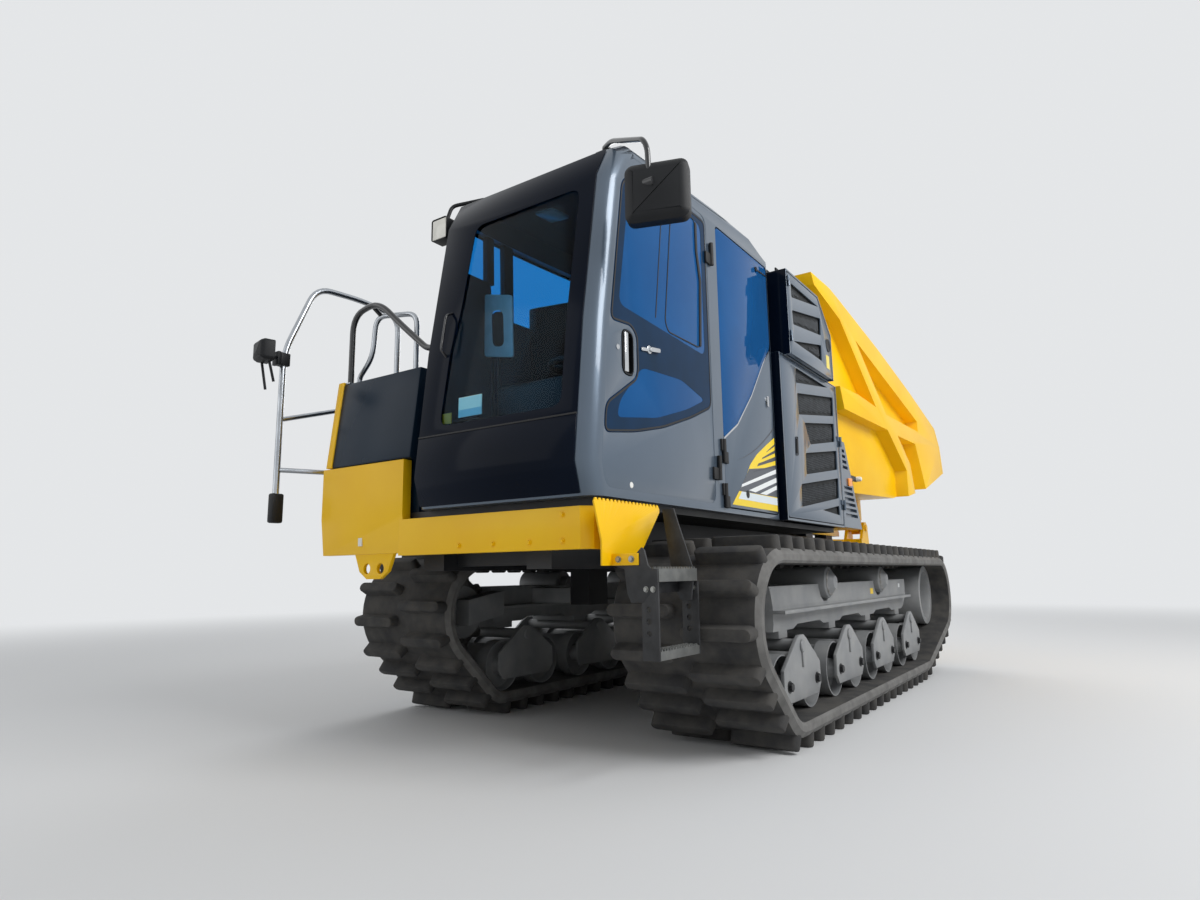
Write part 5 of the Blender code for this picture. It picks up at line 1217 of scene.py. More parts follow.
latch = joined("cab_side_latch", [
    turned_on_side(
        "button", ((0.790, 0.000), (0.790, 0.016), (0.801, 0.014), (0.801, 0.000)), 1.338, 2.575, 20),
    on_skin("arm", LATCH_ARM, -0.001, 0.003, 0.002)])
dress(latch, satin_black, "black_plastic", "chassis")


# Engine hood
# Welded sheet round the engine bay, with a taller housing on the left for the air filter. Its front faces
# behind the cab are coloured gloss black as painted shade; the louvre blocks at the rear are pressed and
# bolted on.
HOOD_X = 0.829
HOOD_SHADED_FRONTS_Y = (1.560, 1.620)
SLATS_Y = (1.640, 2.180)
SLATS_X = (0.500, 0.560, 0.620, 0.680, 0.740, 0.800)
SLAT = 0.010
HOUSING_TOP = 2.659

hood = eased("engine_hood", "engine_hood_shell", 0.002, 1)
dress(hood, slate_metallic, "graphite_paint", "chassis", "engine_hood")
hood.data.materials.append(gloss_black_and_hood_shade)
# the front faces that face away from the light get the gloss black as painted shade
for face in hood.data.polygons:
    if face.normal.y < -0.9 and min(abs(face.center.y - DATUM_Y - y) for y in HOOD_SHADED_FRONTS_Y) < 0.004:
        face.material_index = 1
slats = joined("hood_top_slats", [
    plate(
        "slat", oblong((x, x + SLAT), (DATUM_Y + SLATS_Y[0], DATUM_Y + SLATS_Y[1])), "Z", HOUSING_TOP - 0.001,
        HOUSING_TOP + 0.030)
    for x in SLATS_X])
dress(slats, satin_black, "black_plastic", "chassis")
engine = eased("engine_block", "engine_block_casing", 0.008, 2)
dress(engine, black_enamel_and_frame_shade, "black_steel", "chassis", "engine_block")


# Hood doors
# Each is a pressed leaf with slanted windows; black wire mesh is spot-welded behind them and lets the
# cooling air in. They hang on cast hinges and close with a paddle latch in a black dish.
LOWER_WINDOWS = (
    ((1.832, 1.968), (2.478, 2.064), (1.845, 2.070)),
    ((1.857, 1.763), (2.575, 1.872), (2.588, 2.012), (1.845, 1.902)),
    ((2.044, 1.594), (2.566, 1.683), (2.572, 1.816), (1.957, 1.725)),
    ((1.934, 1.385), (2.587, 1.484), (2.596, 1.622), (1.940, 1.524)),
    ((1.817, 1.169), (2.583, 1.280), (2.597, 1.424), (1.828, 1.313)),
    ((2.583, 1.158), (2.576, 1.226), (2.213, 1.174)))
UPPER_WINDOWS = (
    ((1.700, 2.490), (2.230, 2.583), (1.700, 2.587)),
    ((1.707, 2.313), (2.250, 2.382), (2.260, 2.508), (1.698, 2.405)),
    ((2.240, 2.195), (2.242, 2.310), (1.690, 2.200)))
LOWER_LEAF = ((1.580, 1.095), (2.655, 1.095), (2.655, 2.100), (1.580, 2.100))
UPPER_LEAF = ((1.638, 2.108), (2.454, 2.108), (2.454, 2.428), (2.218, 2.641), (1.638, 2.641))
MESH_PITCH = 0.016
WIRE = 0.0032
LEAF_FOLD = 0.028
COVER_X = 0.879
DISH = ((1.752, 1.484), (1.800, 1.490), (1.808, 1.612), (1.764, 1.606))
GRIP_SECTION = (
    (0.870, 0.000), (0.870, 0.046), (0.8815, 0.046), (0.8815, 0.038), (0.8805, 0.036), (0.8805, 0.000))
COVER_LABEL = ((2.335, 2.400), (2.170, 2.265))
REFLECTOR = ((2.815, 1.385), (2.905, 1.392), (2.905, 1.452), (2.815, 1.445))
MARKER_SECTION = ((0.828, 0.000), (0.828, 0.020), (0.852, 0.020), (0.866, 0.014), (0.871, 0.000))

# Black-coated wire mesh: dull, with the wires just catching the light. Behind it a near-black sheet is
# painted shade for the engine bay
mesh_wire = finish("black-coated wire mesh", "#3a3d40", "#505357", 40, 0.2, (0.45, 0.6), Metallic=0.5)
bay_painted_shade = finish("engine bay shade", "#141618", "#25282a", 120, 0.14, (0.7, 0.9))


def inside(point, outline):
    """Whether a point lies in a closed outline."""
    found = False
    count = len(outline)
    for i in range(count):
        (y0, z0), (y1, z1) = outline[i], outline[(i + 1) % count]
        if (z0 > point[1]) != (z1 > point[1]) and point[0] < y0 + (y1 - y0) * (point[1] - z0) / (z1 - z0):
            found = not found
    return found


def wire_mesh(name, outline, x):
    """Square wire mesh behind a window, a little larger than it."""
    low = [min(p[i] for p in outline) - MESH_PITCH for i in (0, 1)]
    high = [max(p[i] for p in outline) + MESH_PITCH for i in (0, 1)]
    cells = [math.ceil((high[i] - low[i]) / MESH_PITCH) for i in (0, 1)]
    bpy.ops.object.select_all(action="DESELECT")
    bpy.ops.mesh.primitive_grid_add(x_subdivisions=cells[0], y_subdivisions=cells[1], size=1)
    made = bpy.context.active_object
    made.name = name
    spans = [cells[i] * MESH_PITCH for i in (0, 1)]
    for vertex in made.data.vertices:
        a, b = vertex.co.x + 0.5, vertex.co.y + 0.5
        vertex.co = (x, low[0] + a * spans[0], low[1] + b * spans[1])
    wide = shrunk(outline, -1.1 * MESH_PITCH)
    bpy.ops.object.mode_set(mode="EDIT")
    pick("verts", lambda v: not inside((v.co.y, v.co.z), wide))
    bpy.ops.mesh.delete(type="VERT")
    bpy.ops.object.mode_set(mode="OBJECT")
    wires = made.modifiers.new("wires", "WIREFRAME")
    wires.thickness = WIRE
    bpy.ops.object.modifier_apply(modifier="wires")
    return made


def meshed_leaf(name, leaf, windows, skin, body, node, hinges):
    """A hood door: its leaf with cut windows and folded edge, mesh, and a near-black sheet behind as painted
    shade of the bay.
    """
    outline = back(rounded(leaf, 0.020, 3))
    sheet = plate(name, outline, "X", skin - 0.010, skin, edge=0)
    sheet = pierced(sheet, *(
        plate("cut", back(rounded(window, 0.014, 3)), "X", skin - 0.1, skin + 0.1, edge=0)
        for window in windows))
    sheet = softened(sheet, 0.0025)
    fold = ring_plate("fold", outline, 0.012, skin - LEAF_FOLD, skin - 0.008)
    made = joined(name, [sheet, fold, *hinges])
    dress(made, slate_metallic, "graphite_paint", body, node)
    wires = joined(name + "_mesh", [wire_mesh("wires", back(window), skin - 0.0125) for window in windows])
    dress(wires, mesh_wire, "black_steel", body, smooth=20)
    # a near-black sheet behind the mesh is painted shade standing in for the dark engine bay
    dark = plate(name + "_backing", back(shrunk(leaf, 0.013)), "X", skin - 0.022, skin - 0.018, edge=0)
    dress(dark, bay_painted_shade, "black_steel", body)


LOWER_AXIS = (0.841, 2.6680)
UPPER_AXIS = (0.891, 1.6280)


def pin_hinge(axis, z, side):
    """A rolled knuckle and its leaf, on one side of an upright axis."""
    x, y = axis
    low, high = z + 0.0006, z + 0.036
    return joined("hinge", [
        round_bar("knuckle", 0.009, low, high, x, DATUM_Y + y, 16),
        block(
            "leaf", (x - 0.0125, x - 0.003), sorted((y + side * 0.004, y + side * 0.045)),
            (low, high), 0.0015, 1)])


meshed_leaf(
    "hood_lower_door_leaf", LOWER_LEAF, LOWER_WINDOWS, HOOD_X, "lower_hood_door", "hood_lower_door",
    [pin_hinge(LOWER_AXIS, z, -1) for z in (1.235, 1.695)])
meshed_leaf(
    "hood_upper_cover_leaf", UPPER_LEAF, UPPER_WINDOWS, COVER_X, "upper_hood_cover", "hood_upper_cover",
    [pin_hinge(UPPER_AXIS, z, 1) for z in (2.215, 2.575)])

door_latch = joined("hood_door_latch", [
    ring_plate("dish", back(rounded(DISH, 0.014)), 0.006, HOOD_X - 0.004, HOOD_X + 0.003),
    on_skin("paddle", rounded(shrunk(DISH, 0.012), 0.008), -0.003, 0.006, 0.002, HOOD_X)])
dress(door_latch, satin_black, "black_plastic", "lower_hood_door")
cover_grip = turned_on_side("hood_cover_grip", GRIP_SECTION, 2.396, 2.345, 36)
dress(cover_grip, satin_black, "black_plastic", "upper_hood_cover")
printed(film("hood_cover_label", oblong(*COVER_LABEL), 2, COVER_X), "#e8d35a", "upper_hood_cover")
# Moulded acrylic lenses: amber for the reflector, clear for the marker lamp
amber_lens = finish(
    "moulded amber reflector", "#f08a12", "#ff9c1c", 30, 0.2, (0.12, 0.2), Coat_Weight=0.5)
clear_lens = finish(
    "clear moulded lens", "#e8e6dc", "#f2f0e6", 30, 0.2, (0.08, 0.15), Coat_Weight=0.6)
reflector = on_skin("side_reflector", rounded(REFLECTOR, 0.010), 0.0, 0.012, 0.004, HOOD_X)
dress(reflector, amber_lens, "graphite_paint", "chassis")
marker = turned_on_side("side_marker_lamp", MARKER_SECTION, 3.055, 1.461)
dress(marker, clear_lens, "glass", "chassis")
marker_arm = block("side_marker_arm", (0.815, 0.829), (2.900, 3.080), (1.440, 1.480), 0.003, 1)
dress(marker_arm, black_enamel_and_frame_shade, "black_steel", "chassis")


# Right-hand tank box and the bumper's tall half
# Folded sheet with a front that leans back, painted near black, its blue tone a painted sky reflection; its
# outer end is closed by the bumper's yellow cheek. The top is the deck beside the cab.
TANK_X = (-0.920, -0.290)
TANK_SIDE = ((-0.355, 1.330), (1.540, 1.330), (1.540, 1.790), (-0.300, 1.790))
TANK_BASE = ((-0.290, 1.540), (1.075, 1.335))
CHEEK = ((-0.361, 1.332), (-0.290, 1.332), (-0.240, 1.800), (-0.306, 1.800))
DECK_RIBS = 14
DECK_RIB_PITCH = 0.120
DECK_RIB = 0.016

# Near-black enamel; its blue tone is a painted reflection of the sky, not the paint's own colour
tank_black_and_sky_reflection = finish(
    "dark slate enamel", "#10202f", "#142636", 500, 0.22, (0.22, 0.30), bump_mm=0.04, grain_mm=2.0,
    Specular_IOR_Level=0.20)
tank = joined("tank_box_body", [
    plate("tank", back(TANK_SIDE), "X", *TANK_X, edge=0.012),
    plate("base", back(oblong(*TANK_BASE)), "X", TANK_X[0] + 0.030, TANK_X[1], edge=0.004)])
dress(tank, tank_black_and_sky_reflection, "black_steel", "chassis", "tank_box")
cheek = plate("tank_cheek", back(CHEEK), "X", TANK_X[0] - 0.004, TANK_X[0] + 0.040, edge=0.004)
dress(cheek, machine_yellow, "yellow_paint", "chassis")
rib_starts = [-0.180 + DECK_RIB_PITCH * i for i in range(DECK_RIBS)]
grating = joined("tank_top_ribs", [
    block("rib", (TANK_X[0] + 0.060, TANK_X[1] - 0.100), (y, y + DECK_RIB), (1.7895, 1.796), 0.002, 1)
    for y in rib_starts])
dress(grating, satin_black, "black_steel", "chassis")


# Handrails
# Bent steel tube: the outer hoop bright zinc, the loops beside the cab black, with welded braces and
# clamped feet.
SIDE_RAIL_X = -1.190
TANK_SKIN_X = TANK_X[0] + 0.004
RAIL_TUBE = 0.017
BRACE_TUBE = 0.013
HANDLE_X = -0.045

rail_zinc = finish(
    "zinc-plated tube", "#b9bdc2", "#a4a8ad", 90, 0.2, (0.18, 0.32), bump_mm=0.03, grain_mm=2, Metallic=1.0)
gloss_tube = finish(
    "black tube enamel", "#141518", "#1a1b1f", 90, 0.2, (0.18, 0.28), Coat_Weight=0.5,
    Coat_Roughness=0.08)


def pipe(name, points, radius, bend, steps=6):
    """A bent tube through points that are measured back from the datum, with closed ends."""
    path = [Vector(points[0])]
    for before, corner, after in zip(points, points[1:], points[2:]):
        corner = Vector(corner)
        ahead = Vector(after) - corner
        behind = Vector(before) - corner
        reach = min(bend, 0.45 * ahead.length, 0.45 * behind.length)
        start = corner + behind.normalized() * reach
        end = corner + ahead.normalized() * reach
        for step in range(steps + 1):
            t = step / steps
            path.append(start.lerp(corner, t).lerp(corner.lerp(end, t), t))
    path.append(Vector(points[-1]))
    curve = bpy.data.curves.new(name, "CURVE")
    curve.dimensions = "3D"
    curve.bevel_depth = radius
    curve.bevel_resolution = 5
    curve.use_fill_caps = True
    spline = curve.splines.new("POLY")
    spline.points.add(len(path) - 1)
    for point, place in zip(spline.points, path):
        point.co = (place.x, DATUM_Y + place.y, place.z, 1.0)
    made = bpy.data.objects.new(name, curve)
    bpy.context.scene.collection.objects.link(made)
    only(made)
    bpy.ops.object.convert(target="MESH")
    made = bpy.context.active_object
    bpy.ops.object.mode_set(mode="EDIT")
    bpy.ops.mesh.select_all(action="SELECT")
    bpy.ops.mesh.remove_doubles(threshold=0.00005)
    bpy.ops.mesh.normals_make_consistent(inside=False)
    bpy.ops.object.mode_set(mode="OBJECT")
    return made


hoop = joined("side_handrail_tube", [
    pipe("hoop", (
        (SIDE_RAIL_X, -0.470, 1.120), (SIDE_RAIL_X, -0.470, 1.980), (SIDE_RAIL_X, -0.290, 2.410),
        (SIDE_RAIL_X, 0.020, 2.425), (SIDE_RAIL_X, 0.300, 2.400), (SIDE_RAIL_X, 0.300, 1.500)),
        RAIL_TUBE, 0.10),
    pipe("middle", ((SIDE_RAIL_X, -0.470, 1.610), (SIDE_RAIL_X, 0.300, 1.850)), BRACE_TUBE, 0),
    pipe("low", (
        (SIDE_RAIL_X, -0.470, 1.340), (-1.060, -0.180, 1.340), (TANK_SKIN_X, -0.180, 1.340)),
        BRACE_TUBE, 0.06),
    pipe("back", ((SIDE_RAIL_X, 0.300, 1.560), (TANK_SKIN_X, 0.300, 1.560)), BRACE_TUBE, 0)])
dress(hoop, rail_zinc, "rail_tube", "chassis", "side_handrail")
rail_feet = joined("side_handrail_feet", [
    block("foot", (SIDE_RAIL_X - 0.022, SIDE_RAIL_X + 0.022), (-0.500, -0.432), (1.060, 1.215), 0.010),
    block("clamp", (SIDE_RAIL_X - 0.026, SIDE_RAIL_X + 0.026), (-0.498, -0.444), (1.905, 1.975)),
    block("flange", (TANK_X[0] - 0.012, TANK_X[0] + 0.002), (-0.220, -0.140), (1.300, 1.380)),
    block("flange", (TANK_X[0] - 0.012, TANK_X[0] + 0.002), (0.260, 0.340), (1.520, 1.600))])
dress(rail_feet, satin_black, "black_plastic", "chassis")

deck_loop = joined("deck_handrail_loop", [
    pipe("loop", (
        (-0.870, -0.270, 1.790), (-0.870, -0.270, 2.180), (-0.640, -0.290, 2.200), (-0.500, -0.260, 2.060),
        (-0.300, -0.250, 1.890), (CAB_X[0] + 0.004, -0.250, 1.890)), 0.016, 0.11),
    pipe("clamp", ((-0.700, -0.286, 2.196), (-0.700, -0.212, 2.150)), 0.012, 0)])
dress(deck_loop, gloss_tube, "black_steel", "chassis", "deck_handrails")
deck_inner = joined("deck_handrail_inner", [
    pipe("inner", (
        (-0.890, -0.200, 1.790), (-0.890, -0.200, 1.850), (-0.760, -0.220, 1.940), (-0.740, -0.220, 2.160),
        (-0.440, -0.200, 2.120), (-0.440, -0.200, 1.790)), 0.014, 0.07)] + [
    block("foot", (x - 0.028, x + 0.028), (y - 0.028, y + 0.028), (1.7895, 1.797), 0.002)
    for x, y in ((-0.890, -0.200), (-0.440, -0.200), (-0.870, -0.270))])
dress(deck_inner, rail_zinc, "rail_tube", "chassis")
screen_handle = pipe("windscreen_handle", [
    (HANDLE_X, front_y(z) - stand_off, z) for z, stand_off in (
        (1.995, 0.003), (1.975, 0.040), (1.800, 0.040), (1.775, 0.003))], 0.006, 0.02)
dress(screen_handle, gloss_tube, "black_steel", "chassis")


# Mirrors
# Moulded black housings with a chromed glass in the rearward face. The left one hangs from a bent tube
# off the roof's corner, outside the door's sweep; the right one is clamped to the hoop.
MIRROR_STAY = (
    (0.640, -0.030, 2.705), (0.640, -0.050, 2.735), (0.720, -0.110, 2.712), (1.000, -0.300, 2.520),
    (1.022, -0.305, 2.470), (1.024, -0.300, 2.315))
STAY_GRIP = ((-0.022, 0.0), (-0.022, 0.022), (0.022, 0.022), (0.022, 0.0))
LEFT_MIRROR = (
    # size, degrees turned, middle, corner radius
    (0.262, 0.046, 0.252), 19, (1.040, DATUM_Y - 0.262, 2.285), 0.035)
RIGHT_MIRROR = (
    (0.130, 0.050, 0.110), -12, (SIDE_RAIL_X + 0.030, DATUM_Y - 0.590, 1.955), 0.018)
GLASS_MARGIN = 0.016

# Chrome-silvered glass: a clear mirror
mirror_glass = finish(
    "silvered mirror glass", "#c9ced2", "#c9ced2", 100, 0.3, (0.01, 0.02), Metallic=1.0)


def mirror_head(node, size, degrees, middle, corner):
    """A housing crowned on its back, and its glass inset in the face that looks rearwards."""
    housing = box_piece(node + "_housing", *((-length / 2, length / 2) for length in size))
    pick("edges", lambda e: abs(e.verts[0].co.y - e.verts[1].co.y) > 0.01)
    bpy.ops.mesh.bevel(offset=corner, segments=6)
    pick("faces", lambda f: f.normal.y < -0.9)
    bpy.ops.mesh.inset(thickness=corner * 0.5)
    bpy.ops.transform.translate(value=(0, -size[1] * 0.35, 0))
    bpy.ops.mesh.inset(thickness=corner * 0.6)
    bpy.ops.transform.translate(value=(0, -size[1] * 0.12, 0))
    pick("faces", lambda f: f.normal.y > 0.9)
    bpy.ops.mesh.inset(thickness=0.008)
    bpy.ops.transform.translate(value=(0, -0.006, 0))
    bpy.ops.object.mode_set(mode="OBJECT")
    glass = box_piece(
        node + "_glass", (GLASS_MARGIN - size[0] / 2, size[0] / 2 - GLASS_MARGIN),
        (size[1] / 2 - 0.0062, size[1] / 2 - 0.004), (GLASS_MARGIN - size[2] / 2, size[2] / 2 - GLASS_MARGIN))
    bpy.ops.object.mode_set(mode="OBJECT")
    place = Matrix.Translation(middle) @ Matrix.Rotation(math.radians(degrees), 4, "Z")
    housing.data.transform(place)
    glass.data.transform(place)
    dress(housing, satin_black, "black_plastic", "chassis", node)
    dress(glass, mirror_glass, "glass", "chassis")


mirror_head("mirror_left", *LEFT_MIRROR)
stay_grip = turned("grip", STAY_GRIP, (0.0, 0.0), 24)
stay_grip.data.transform(Matrix.Translation((1.024, DATUM_Y - 0.300, 2.322)))
stay = joined("mirror_left_stay", [
    pipe("stay", MIRROR_STAY, 0.0115, 0.045),
    block("foot", (0.600, 0.680), (-0.062, 0.010), (2.706, 2.722), 0.003), stay_grip])
dress(stay, gloss_tube, "black_steel", "chassis")

mirror_head("mirror_right", *RIGHT_MIRROR)
right_arm = joined("mirror_right_arm", [
    pipe("arm", ((SIDE_RAIL_X, -0.505, 1.940), (SIDE_RAIL_X, -0.572, 1.955)), 0.009, 0),
    block("clamp", (SIDE_RAIL_X - 0.028, SIDE_RAIL_X + 0.028), (-0.518, -0.499), (1.903, 1.977), 0.003),
    pipe("leg", ((SIDE_RAIL_X - 0.020, -0.580, 1.905), (SIDE_RAIL_X - 0.006, -0.560, 1.760)), 0.007, 0),
    pipe("leg", ((SIDE_RAIL_X + 0.040, -0.575, 1.905), (SIDE_RAIL_X + 0.034, -0.540, 1.800)), 0.007, 0)])
dress(right_arm, satin_black, "black_plastic", "chassis")


# Work lamp
# A square sealed lamp on a swivel at the roof's right corner: black ribbed housing, clear lens, and a
# cable that loops back to the roof.
LAMP_X = (-0.350, -0.240)
LAMP_Y = (-0.200, -0.130)
LAMP_Z = (2.485, 2.605)
LAMP_LEAD = (
    (-0.290, -0.125, 2.560), (-0.250, -0.060, 2.600), (-0.240, 0.010, 2.740), (-0.190, 0.050, 2.770),
    (-0.130, 0.060, 2.728))

lamp_body = box_piece("work_lamp_housing", LAMP_X, (DATUM_Y + LAMP_Y[0], DATUM_Y + LAMP_Y[1]), LAMP_Z)
pick("edges", lambda e: abs(e.verts[0].co.y - e.verts[1].co.y) > 0.01)
bpy.ops.mesh.bevel(offset=0.014, segments=4)
pick("faces", lambda f: f.normal.y < -0.9)
bpy.ops.mesh.inset(thickness=0.006)
bpy.ops.transform.translate(value=(0, 0.006, 0))
bpy.ops.object.mode_set(mode="OBJECT")
fin_heights = [LAMP_Z[0] + 0.016 + 0.018 * i for i in range(5)]
lamp_case = joined("work_lamp_housing", [
    lamp_body,
    *(block("fin", (LAMP_X[0] + 0.012, LAMP_X[1] - 0.012), (LAMP_Y[1] - 0.002, LAMP_Y[1] + 0.012), (
        z, z + 0.006), 0.001) for z in fin_heights),
    pipe("stalk", (
        (-0.130, 0.000, 2.720), (-0.150, -0.010, 2.745), (-0.285, -0.120, 2.700), (-0.295, -0.150, 2.600)),
        0.010, 0.03),
    block("foot", (-0.162, -0.098), (-0.020, 0.060), (2.712, 2.730), 0.003)])
dress(lamp_case, satin_black, "black_plastic", "chassis", "work_lamp")
lamp_lens = block("work_lamp_lens", (LAMP_X[0] + 0.007, LAMP_X[1] - 0.007), (
    LAMP_Y[0] + 0.002, LAMP_Y[0] + 0.008), (LAMP_Z[0] + 0.007, LAMP_Z[1] - 0.007), 0.002)
dress(lamp_lens, clear_lens, "glass", "chassis")
lamp_lead = pipe("work_lamp_cable", LAMP_LEAD, 0.0035, 0.05)
dress(lamp_lead, satin_black, "rubber", "chassis")


# Dump vessel
# Wear-resistant steel plate, pressed and welded: a raised web of ribs stands out between hollow panels,
# with a rolled edge along the top. Yellow enamel outside, scuffed where rock slides inside.
vessel = eased("dump_vessel", "dump_vessel_body", 0.010, 3)
dress(vessel, machine_yellow, "yellow_paint", "vessel", "dump_vessel")


# Hoist cylinders
# Two single-stage rams between the chassis and the vessel: black tubes with a screwed gland, and hard
# chromed rods that come out as the vessel tips.
HOIST_BASE = (3.300, 0.550)
HOIST_EYE = (3.500, 1.240)
HOIST_X = 0.140
HOIST_LEAN = math.atan2(HOIST_EYE[1] - HOIST_BASE[1], HOIST_EYE[0] - HOIST_BASE[0])
EYE_HALF = 0.035


def ram_piece(name, sections, x):
    """A turned piece along the ram's own line, from (distance from the base, radius) pairs."""
    made = turned(name, sections, (0.0, 0.0), 40)
    made.data.transform(
        Matrix.Translation((x, DATUM_Y + HOIST_BASE[0], HOIST_BASE[1]))
        @ Matrix.Rotation(HOIST_LEAN, 4, "X") @ Matrix.Rotation(math.pi / 2, 4, "Z"))
    return made


def ram_eye(name, x, bore, place):
    """The forged eye at a ram's end, bored for its pin, with eased rims."""
    section = [(x + a, radius) for a, radius in (
        (-EYE_HALF, bore), (-EYE_HALF, 0.046), (-EYE_HALF + 0.002, 0.048), (EYE_HALF - 0.002, 0.048),
        (EYE_HALF, 0.046), (EYE_HALF, bore), (-EYE_HALF, bore))]
    return turned(name, section, (DATUM_Y + place[0], place[1]), 32)


# Hard chrome, ground and polished, on the rods
hard_chrome = finish("hard-chromed rod", "#cfd3d6", "#c3c7ca", 60, 0.25, (0.08, 0.16), Metallic=1.0)
reach = math.dist(HOIST_BASE, HOIST_EYE)
for side, x in (("left", HOIST_X), ("right", -HOIST_X)):
    tube_piece = ram_piece("tube", (
        (0.030, 0.000), (0.030, 0.050), (0.036, 0.055), (reach - 0.160, 0.055), (reach - 0.158, 0.060),
        (reach - 0.114, 0.060), (reach - 0.110, 0.056), (reach - 0.110, 0.034), (reach - 0.150, 0.034),
        (reach - 0.150, 0.000)), x)
    barrel = joined(
        "hoist_barrel_%s_tube" % side, [tube_piece, ram_eye("foot", x, 0.0255, HOIST_BASE)])
    dress(barrel, black_enamel_and_frame_shade, "black_steel", "hoist_barrel_" + side[0], "hoist_barrel_" + side)
    rod = ram_piece("hoist_rod_%s_rod" % side, (
        (0.070, 0.000), (0.070, 0.032), (reach - 0.030, 0.032), (reach - 0.030, 0.000)), x)
    dress(rod, hard_chrome, "chromed_rod", "hoist_rod_" + side[0], "hoist_rod_" + side)
    eye = ram_eye("hoist_rod_%s_eye" % side, x, 0.0245, HOIST_EYE)
    dress(eye, black_enamel_and_frame_shade, "black_steel", "hoist_rod_" + side[0])


# Seat
# A suspension seat: foam pads under woven cloth with sewn bolsters, on a steel pan over a rubber bellows.
SEAT_X = (0.070, 0.570)
SEAT_BACK = ((0.862, 1.520), (0.950, 1.520), (1.046, 2.110), (0.990, 2.130), (0.918, 2.070))
HEAD_REST = ((0.994, 2.136), (1.052, 2.136), (1.076, 2.306), (1.028, 2.312))
PAD_STEPS = 20
PAD_REACH = 0.016
PAD_PRESSURE = 4.0
PAD_VOXEL = 0.011
BELLOWS_FOLDS = 6

# Woven wool-blend seat cloth, near black, with a fine rib that catches light as a soft sheen
seat_cloth = finish(
    "woven seat cloth", "#15171b", "#1f2228", 25, 0.2, (0.80, 0.95), bump_mm=0.6, grain_mm=1.6,
    Sheen_Weight=0.4, Sheen_Roughness=0.5)


def stuffed(name, pad, grooves):
    """A foam pad: a rounded block filled out by cloth simulation, then drawn in along its sewn seams.

    A groove is an axis, where it lies along it, its half width and its depth.
    """
    remesh = pad.modifiers.new("remesh", "REMESH")
    remesh.mode = "VOXEL"
    remesh.voxel_size = PAD_VOXEL
    only(pad)
    bpy.ops.object.modifier_apply(modifier="remesh")
    pad.name = name
    cloth = pad.modifiers.new("cloth", "CLOTH")
    cloth.settings.use_pressure = True
    cloth.settings.uniform_pressure_force = PAD_PRESSURE
    cloth.settings.effector_weights.gravity = 0
    cloth.point_cache.frame_start = 1
    cloth.point_cache.frame_end = PAD_STEPS
    for step in range(1, PAD_STEPS + 1):
        bpy.context.scene.frame_set(step)
    shape = pad.evaluated_get(bpy.context.evaluated_depsgraph_get()).data
    moved = [vertex.co.copy() for vertex in shape.vertices]
    pad.modifiers.remove(cloth)
    for vertex, target in zip(pad.data.vertices, moved):
        shift = target - vertex.co
        vertex.co += shift * min(1.0, PAD_REACH / max(shift.length, 1e-6))
    bpy.context.scene.frame_set(1)
    finer = pad.modifiers.new("finer", "SUBSURF")
    finer.levels = 1
    only(pad)
    bpy.ops.object.modifier_apply(modifier="finer")
    for vertex in pad.data.vertices:
        for axis, value, width, depth in grooves:
            away = abs(vertex.co[axis] - value) / width
            if away < 1:
                vertex.co -= vertex.normal * depth * (1 - away * away)
    return pad


seat_pad = stuffed(
    "seat_cushion",
    block("pad", (SEAT_X[0] + 0.016, SEAT_X[1] - 0.016), (0.396, 0.870), (1.418, 1.528), 0.034, 4), (
        (0, 0.175, 0.014, 0.008), (0, 0.465, 0.014, 0.008), (1, DATUM_Y + 0.560, 0.012, 0.005),
        (1, DATUM_Y + 0.700, 0.012, 0.005)))
back_pad = stuffed(
    "seat_back_pad", plate("pad", back(shrunk(SEAT_BACK, 0.010)), "X", 0.096, 0.544, edge=0.020), (
        (0, 0.185, 0.014, 0.008), (0, 0.455, 0.014, 0.008), (2, 1.700, 0.012, 0.005),
        (2, 1.880, 0.012, 0.005)))
head_pad = stuffed("seat_head_pad", plate("pad", back(HEAD_REST), "X", 0.212, 0.428, edge=0.014), ())
dress(seat_pad, seat_cloth, "seat_fabric", "chassis", "seat", smooth=80)
dress(back_pad, seat_cloth, "seat_fabric", "chassis", smooth=80)
dress(head_pad, seat_cloth, "seat_fabric", "chassis", smooth=80)
pedestal = [
    block("pan", (0.110, 0.530), (0.420, 0.880), (1.395, 1.420), 0.006),
    block("base", (0.160, 0.480), (0.500, 0.860), (1.122, 1.160), 0.006)]
for i in range(BELLOWS_FOLDS):
    spread = 0.0 if i % 2 else 0.022
    pedestal.append(block(
        "fold", (0.182 - spread, 0.458 + spread), (0.522 - spread, 0.838 + spread), (
            1.158 + 0.040 * i, 1.200 + 0.040 * i), 0.010))
pedestal += [pipe("stalk", ((x, 1.000, 2.060), (x, 1.040, 2.200)), 0.007, 0) for x in (0.270, 0.370)]
dress(joined("seat_suspension", pedestal), satin_black, "black_plastic", "chassis")


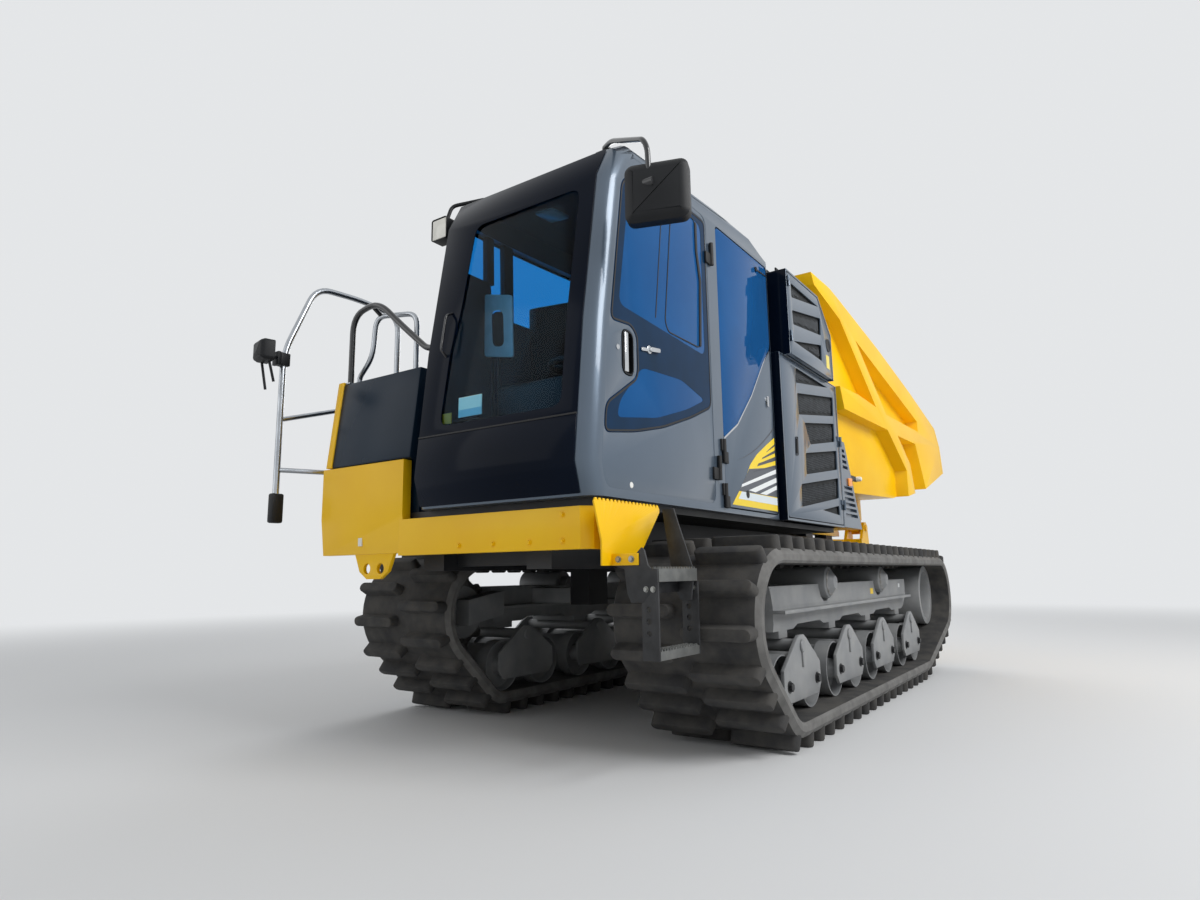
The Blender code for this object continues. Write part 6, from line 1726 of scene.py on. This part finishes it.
# Control console
# Grained grey-black mouldings: a leaning fascia with the steering wheel, and a long console beside the
# seat with two travel levers in rubber boots. A pale bracket stands up ahead of it.
FASCIA = ((-0.220, 1.1203), (0.000, 1.1203), (0.020, 1.500), (-0.040, 1.640), (-0.220, 1.640))
SIDE_CONSOLE = (
    (-0.220, 1.1203), (0.900, 1.1203), (0.900, 1.600), (0.500, 1.640), (0.350, 1.520), (-0.220, 1.520))
LEVERS = (
    # foot, top
    ((-0.080, 0.300, 1.480), (-0.080, 0.260, 1.760)), ((-0.080, 0.180, 1.480), (-0.080, 0.140, 1.720)))
BOOT_SECTION = (
    (0.000, 0.048), (0.012, 0.044), (0.020, 0.036), (0.032, 0.038), (0.042, 0.026), (0.056, 0.027),
    (0.066, 0.012))
BOOT_FOOT_Z = 1.518
KNOB_SECTION = ((-0.040, 0.000), (-0.038, 0.014), (0.000, 0.020), (0.026, 0.017), (0.034, 0.000))
WHEEL_AT = (0.350, 0.120, 1.785)
WHEEL_RADIUS = 0.150
CABINET = ((0.332, 1.590), (0.332, 2.237), (0.736, 2.420), (0.980, 2.420), (0.980, 1.590))
SCREEN_LABELS = (
    # name, across, height, colour
    ("cab_front_label", (-0.040, 0.015), (1.452, 1.500), "#e8a020"),
    ("cab_front_sheet", (0.060, 0.200), (1.470, 1.560), "#cfeee8"))
BRACKET = ((-0.095, 1.862), (0.082, 1.830), (0.076, 2.146), (-0.094, 2.186))
BRACKET_SLOT = ((-0.050, 1.905), (0.028, 1.890), (0.022, 2.080), (-0.056, 2.095))

console = joined("control_console_body", [
    plate("fascia", back(rounded(FASCIA, 0.030, 3)), "X", 0.142, 0.558, edge=0.006),
    plate("side", back(rounded(SIDE_CONSOLE, 0.030, 3)), "X", -0.162, 0.010, edge=0.006),
    block("bridge", (0.006, 0.146), (-0.198, -0.022), (1.302, 1.478), 0.008),
    pipe("column", ((0.350, -0.060, 1.500), (0.350, 0.100, 1.772)), 0.022, 0),
    block("pedal", (0.200, 0.290), (0.120, 0.140), (1.160, 1.290), 0.006),
    block("pedal", (0.390, 0.480), (0.120, 0.140), (1.160, 1.290), 0.006)])
dress(console, satin_black, "black_plastic", "chassis", "control_console")


def on_wheel(angle, radius):
    """A point of the steering wheel, measured back from the datum."""
    return (WHEEL_AT[0] + radius * math.cos(angle), WHEEL_AT[1] + radius * math.sin(angle), WHEEL_AT[2])


def stood(name, section, place, steps):
    """A turned piece stood on end, from (height, radius) pairs."""
    made = turned(name, section, (0.0, 0.0), steps)
    made.data.transform(
        Matrix.Translation((place[0], DATUM_Y + place[1], place[2])) @ Matrix.Rotation(-math.pi / 2, 4, "Y"))
    return made


rim_points = [on_wheel(2 * math.pi * i / 48, WHEEL_RADIUS) for i in range(49)]
wheel_parts = [pipe("rim", rim_points, 0.013, 0), *(
    pipe("spoke", (WHEEL_AT, on_wheel(math.pi / 2 + 2 * math.pi * i / 3, WHEEL_RADIUS - 0.005)), 0.009, 0)
    for i in range(3))]
wheel_parts.append(block("boss", (0.315, 0.385), (0.085, 0.155), (1.768, 1.802), 0.014))
for foot, top in LEVERS:
    wheel_parts += [
        pipe("lever", (foot, top), 0.009, 0),
        stood("boot", BOOT_SECTION, (foot[0], foot[1], BOOT_FOOT_Z), 24),
        stood("knob", KNOB_SECTION, (top[0], top[1], top[2] - 0.010), 20)]
dress(joined("control_console_controls", wheel_parts), seal_rubber, "black_plastic", "chassis")
# Brushed alloy sheet, pale under the tinted glass
pale_alloy = finish("brushed alloy plate", "#e6eceb", "#d2dad9", 60, 0.2, (0.35, 0.50))
bracket = pierced(
    plate("console_bracket", rounded(BRACKET, 0.016), "Y", DATUM_Y - 0.054, DATUM_Y - 0.046, edge=0.001),
    plate("cut", rounded(BRACKET_SLOT, 0.036), "Y", DATUM_Y - 0.070, DATUM_Y - 0.030, edge=0))
dress(bracket, pale_alloy, "chromed_rod", "chassis")
bracket_stand = joined("console_bracket_stand", [
    plate(
        "back", rounded(shrunk(BRACKET_SLOT, -0.006), 0.036), "Y", DATUM_Y - 0.046, DATUM_Y - 0.040, edge=0),
    *(pipe("post", ((x, -0.036, 1.515), (x, -0.036, 1.900)), 0.008, 0) for x in (-0.060, -0.020)),
    plate("cabinet", back(CABINET), "X", -0.160, -0.110, edge=0.008)])
dress(bracket_stand, satin_black, "black_plastic", "chassis")
ceiling_lamp = block("cab_ceiling_lamp", (0.040, 0.150), (0.150, 0.270), (2.668, 2.690), 0.009)
dress(ceiling_lamp, clear_lens, "glass", "chassis")
for label_name, x, z, colour in SCREEN_LABELS:
    label = block(label_name, x, (-0.385, -0.381), z, 0)
    dress(label, flat_paint(label_name.replace("_", " "), colour), "black_plastic", "chassis")
